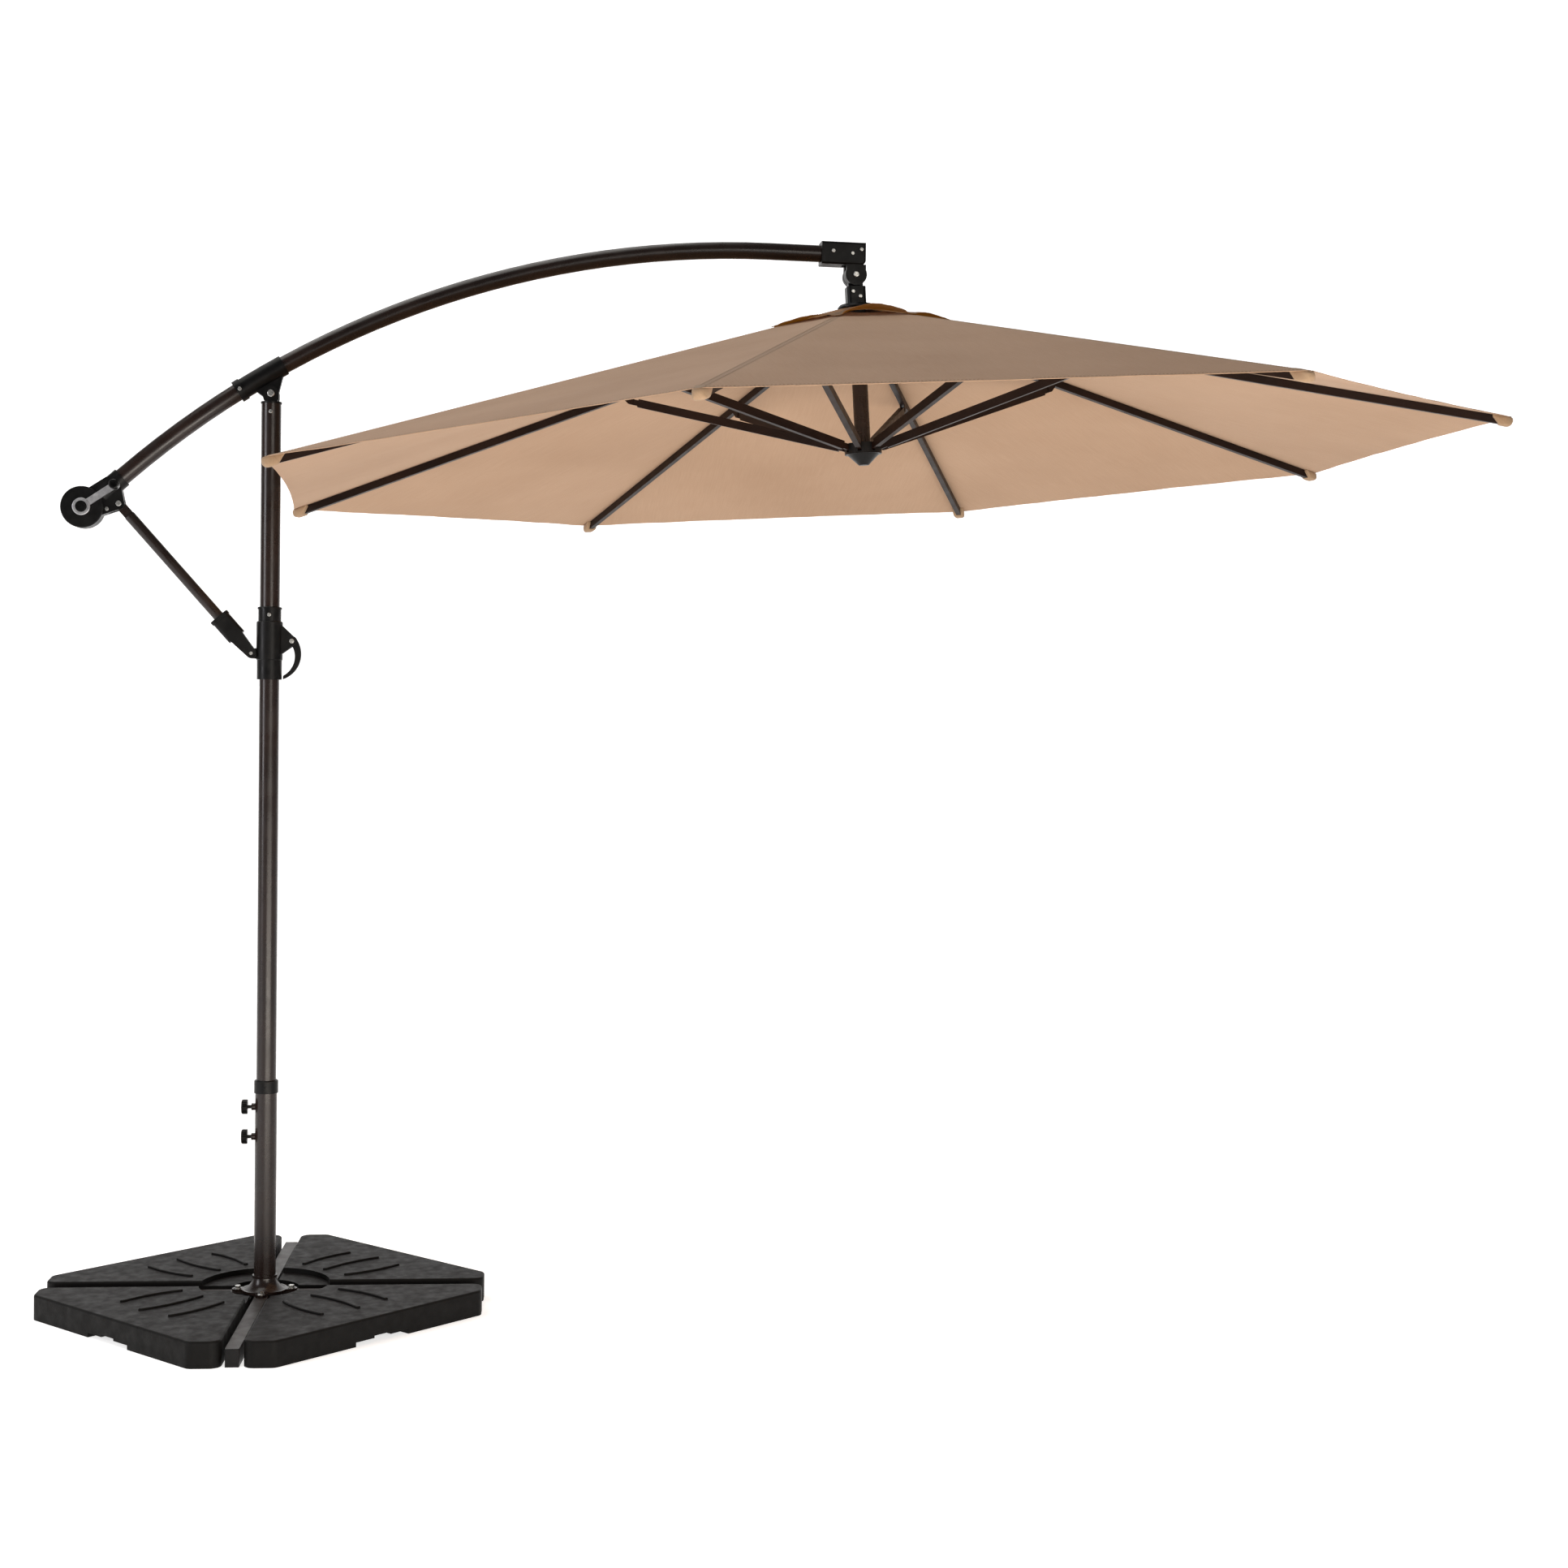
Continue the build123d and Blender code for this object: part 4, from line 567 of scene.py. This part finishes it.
canopy_points, canopy_flats, canopy_sewn = sheet_grid(CANOPY_SHEET)
canopy_points = cloth_settle(CANOPY_SHEET, canopy_points, canopy_sewn)
canopy_grid = sewn_puckers(CANOPY_SHEET, canopy_points, canopy_flats)
vent_points, vent_flats, _ = sheet_grid(VENT_SHEET)
vent_grid = sewn_puckers(VENT_SHEET, vent_points, vent_flats)
canopy = [
    wing("canopy_panel", k, CANOPY_SHEET, canopy_grid, canopy_flats, CLOTH_FACE) for k in range(RIBS)
]
vent = [wing("vent_cap", k, VENT_SHEET, vent_grid, vent_flats, VENT_FACE) for k in range(RIBS)]


# ------------------------------------------------------------------ stitches, by geometry nodes
def stitch_tree(finish):
    """Lays a small rounded stitch at every step along a path, then makes them real."""
    tree = bpy.data.node_groups.new("stitches_along_path", "GeometryNodeTree")
    tree.interface.new_socket("Path", in_out="INPUT", socket_type="NodeSocketGeometry")
    sizes = {"Spacing": STITCH_SPACING, "Stitch length": STITCH_LENGTH, "Stitch width": STITCH_WIDTH}
    for label, value in sizes.items():
        socket = tree.interface.new_socket(label, in_out="INPUT", socket_type="NodeSocketFloat")
        socket.default_value = value
    tree.interface.new_socket("Stitches", in_out="OUTPUT", socket_type="NodeSocketGeometry")
    given = add(tree, "NodeGroupInput").outputs
    line = add(tree, "GeometryNodeMeshToCurve", {"Mesh": given["Path"]})
    steps = {"Curve": line, "Length": given["Spacing"]}
    spots = add(tree, "GeometryNodeCurveToPoints", steps, mode="LENGTH").outputs
    widths = {0: given["Stitch width"], 1: given["Stitch width"], 2: given["Stitch length"]}
    size = add(tree, "ShaderNodeCombineXYZ", widths)
    bead = add(tree, "GeometryNodeMeshUVSphere", {"Segments": 6, "Rings": 4, "Radius": 0.5})
    shaped = add(tree, "GeometryNodeTransform", {"Geometry": bead, "Scale": size})
    row = {"Points": spots["Points"], "Instance": shaped, "Rotation": spots["Rotation"]}
    laid = add(tree, "GeometryNodeInstanceOnPoints", row)
    real = add(tree, "GeometryNodeRealizeInstances", {"Geometry": laid})
    dyed = add(tree, "GeometryNodeSetMaterial", {"Geometry": real, "Material": finish})
    add(tree, "NodeGroupOutput", {"Stitches": dyed})
    return tree


STITCHES = stitch_tree(THREAD)


def stitch_lines(k, sheet, grid):
    """Two lines beside a rib and one along the hem of its wing, just proud of the cloth."""
    width = 2 * COLUMNS
    over_rib = k * width + COLUMNS - 1
    lines = []
    for side in (-1, 1):
        line = []
        for r in range(1, sheet.rows + 1):
            a, b = grid[r, over_rib], grid[r, (over_rib + side) % ROUND]
            line.append(a + (b - a) * 0.72 + np.array((0, 0, CLOTH / 2 + 0.0002)))
        lines.append(line)
    hem = []
    for s in range(1, width):
        c = (k * width + s - 1) % ROUND
        a, b = grid[sheet.rows, c], grid[sheet.rows - 1, c]
        step = np.linalg.norm(b - a)
        hem.append(a + (b - a) * sheet.stitch_inset / step + np.array((0, 0, CLOTH / 2 + 0.0003)))
    return [*lines, hem]


def stitching(name, k, sheet, grid):
    """The stitches of a rib's wing, as one mesh."""
    matrix = np.array(CANOPY)
    points, edges = [], []
    for line in stitch_lines(k, sheet, grid):
        start = len(points)
        points += [matrix[:3, :3] @ p + matrix[:3, 3] for p in line]
        edges += [(i, i + 1) for i in range(start, len(points) - 1)]
    data = bpy.data.meshes.new(name)
    data.from_pydata([tuple(p) for p in points], edges, [])
    rail = bpy.data.objects.new(name + "_rail", data)
    bpy.context.scene.collection.objects.link(rail)
    rail.modifiers.new("stitches", "NODES").node_group = STITCHES
    graph = bpy.context.evaluated_depsgraph_get()
    done = bpy.data.meshes.new_from_object(rail.evaluated_get(graph))
    bpy.data.objects.remove(rail)
    made = bpy.data.objects.new(name, done)
    bpy.context.scene.collection.objects.link(made)
    done.shade_smooth()
    return made


# ------------------------------------------------------------------ rib-tip pockets
def pocket_ring(k, share, around):
    """One cross-section of a pocket: a rounded oblong that closes to a nose, a little creased."""
    angle = RIB_ANGLES[k]
    radius = POCKET_START + POCKET_LENGTH * share
    closing = math.sqrt(max(0.0, 1 - max(0.0, (share - 0.6) / 0.405) ** 2))
    half = (POCKET_HALF_WIDTH + POCKET_FLARE * (1 - share)) * (0.3 + 0.7 * closing)
    top = ridge_height(radius) + 0.0014 - 0.004 * (1 - closing)
    depth = (POCKET_DEPTH * min(1.0, 0.3 + share * 2.4)) * (0.2 + 0.8 * closing)
    ring = []
    for a in range(around):
        turn = 2 * math.pi * a / around
        east, north = math.cos(turn), math.sin(turn)
        lateral = half * math.copysign(abs(east) ** 0.55, east)
        up = depth / 2 * math.copysign(abs(north) ** 0.55, north)
        crease = 0.0009 * smooth_noise(radius * 90, turn * 2 + k, 5 + k)
        x = radius * math.cos(angle) - lateral * math.sin(angle)
        y = radius * math.sin(angle) + lateral * math.cos(angle)
        ring.append((x, y, top - depth / 2 + up + crease))
    return ring


def rib_tip_pocket(k):
    """Folded pocket sewn over a rib's tip, with a rounded nose and a slightly slack underside."""
    sections, around = 14, 20
    points, faces = [], []
    for s in range(sections + 1):
        points += pocket_ring(k, s / sections, around)
    for s in range(sections):
        for a in range(around):
            b = (a + 1) % around
            faces.append((s * around + a, s * around + b, (s + 1) * around + b, (s + 1) * around + a))
    faces.append(tuple(range(around))[::-1])
    faces.append(tuple(range(sections * around, (sections + 1) * around)))
    made = new_mesh(f"tip_pocket_{k + 1}", [CANOPY @ Vector(p) for p in points], faces)
    cover = bmesh.new()
    cover.from_mesh(made.data)
    bmesh.ops.recalc_face_normals(cover, faces=cover.faces)
    cover.to_mesh(made.data)
    cover.free()
    lay_flat(made, "cloth", [(v.co.x + v.co.z, v.co.y) for v in made.data.vertices])
    lay_flat(made, "seam", [(1.0, 0.0)] * len(made.data.vertices))
    made.data.materials.append(FOLDED)
    made.data.shade_smooth()
    return made


# ------------------------------------------------------------------ cloth on its ribs
for k, angle in enumerate(RIB_ANGLES):
    body = f"rib_{k + 1}"
    sewing = stitching(f"canopy_stitching_{k + 1}", k, CANOPY_SHEET, canopy_grid)
    cap_sewing = stitching(f"vent_stitching_{k + 1}", k, VENT_SHEET, vent_grid)
    pocket = rib_tip_pocket(k)
    for piece in (canopy[k], vent[k], sewing, cap_sewing, pocket):
        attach(piece, body)
    for piece in (canopy[k], sewing, vent[k], cap_sewing):
        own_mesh(piece)
    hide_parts("canopy_cloth")
    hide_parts("vent_cap")


# ------------------------------------------------------------------ floor, light and camera
def paper_sweep():
    """Floor that curves up into a wall behind, with no edge between them."""
    front, bend_start, bend, wall_top, half_width, steps = -16.0, 8.0, 3.0, 14.0, 18.0, 24
    line = [(front, 0.0)]
    for k in range(steps + 1):
        turn = math.pi / 2 * k / steps
        line.append((bend_start + bend * math.sin(turn), bend * (1 - math.cos(turn))))
    line.append((bend_start + bend, wall_top))
    points = [(x, y, z) for y, z in line for x in (-half_width, half_width)]
    faces = [(2 * k, 2 * k + 1, 2 * k + 3, 2 * k + 2) for k in range(len(line) - 1)]
    made = new_mesh("paper_sweep", points, faces)
    made.data.shade_smooth()
    made.data.materials.append(PAPER)


def soft_light(name, place, aim, size, power, tint):
    """A large rectangular softbox."""
    lamp = bpy.data.lights.new(name, "AREA")
    lamp.shape = "RECTANGLE"
    lamp.size, lamp.size_y = size
    lamp.energy = power
    lamp.color = paint(tint)[:3]
    made = bpy.data.objects.new(name, lamp)
    made.location = place
    made.rotation_euler = (Vector(aim) - Vector(place)).to_track_quat("-Z", "Y").to_euler()
    bpy.context.scene.collection.objects.link(made)


def studio_air(strength):
    """Even white light from all round."""
    world = bpy.data.worlds.new("studio_air")
    world.use_nodes = True
    background = world.node_tree.nodes["Background"]
    background.inputs["Color"].default_value = paint("#FFFFFF")
    background.inputs["Strength"].default_value = strength
    bpy.context.scene.world = world


def place_camera(place, yaw, pitch, roll, focal_mm):
    """The camera: yaw turns it from +Y towards +X, pitch lifts its aim and roll lifts its right side."""
    ahead = Vector((math.sin(yaw) * math.cos(pitch), math.cos(yaw) * math.cos(pitch), math.sin(pitch)))
    level = Vector((math.cos(yaw), -math.sin(yaw), 0))
    above = level.cross(ahead)
    right = level * math.cos(roll) + above * math.sin(roll)
    above = above * math.cos(roll) - level * math.sin(roll)
    lens = bpy.data.cameras.new("camera")
    lens.sensor_width = 36.0
    lens.lens = focal_mm
    lens.clip_end = 60
    camera = bpy.data.objects.new("camera", lens)
    camera.matrix_world = Matrix((right, above, -ahead)).transposed().to_4x4()
    camera.location = place
    bpy.context.scene.collection.objects.link(camera)
    bpy.context.scene.camera = camera


paper_sweep()
soft_light("overhead_softbox", (-0.6, 0.4, 6.0), (0.8, 0.1, 1.2), (4.5, 3.5), 122, "#FFFDF8")
soft_light("front_softbox", (3.4, -6.8, 2.6), (1.0, 0.0, 1.7), (2.6, 2.2), 84, "#FFF8EE")
soft_light("side_softbox", (-5.2, -2.6, 2.6), (0.2, 0.0, 1.5), (1.4, 3.4), 140, "#FBFAFF")
soft_light("low_fill", (1.5, -3.1, 0.2), (1.5, 0.4, 2.2), (3.6, 1.2), 96, "#FFF6EA")
studio_air(0.14)
place_camera((0.3567, -5.369, 1.3667), yaw=0.1591, pitch=-0.0234, roll=0.013, focal_mm=51.62)
bpy.context.scene.view_settings.view_transform = "Standard"
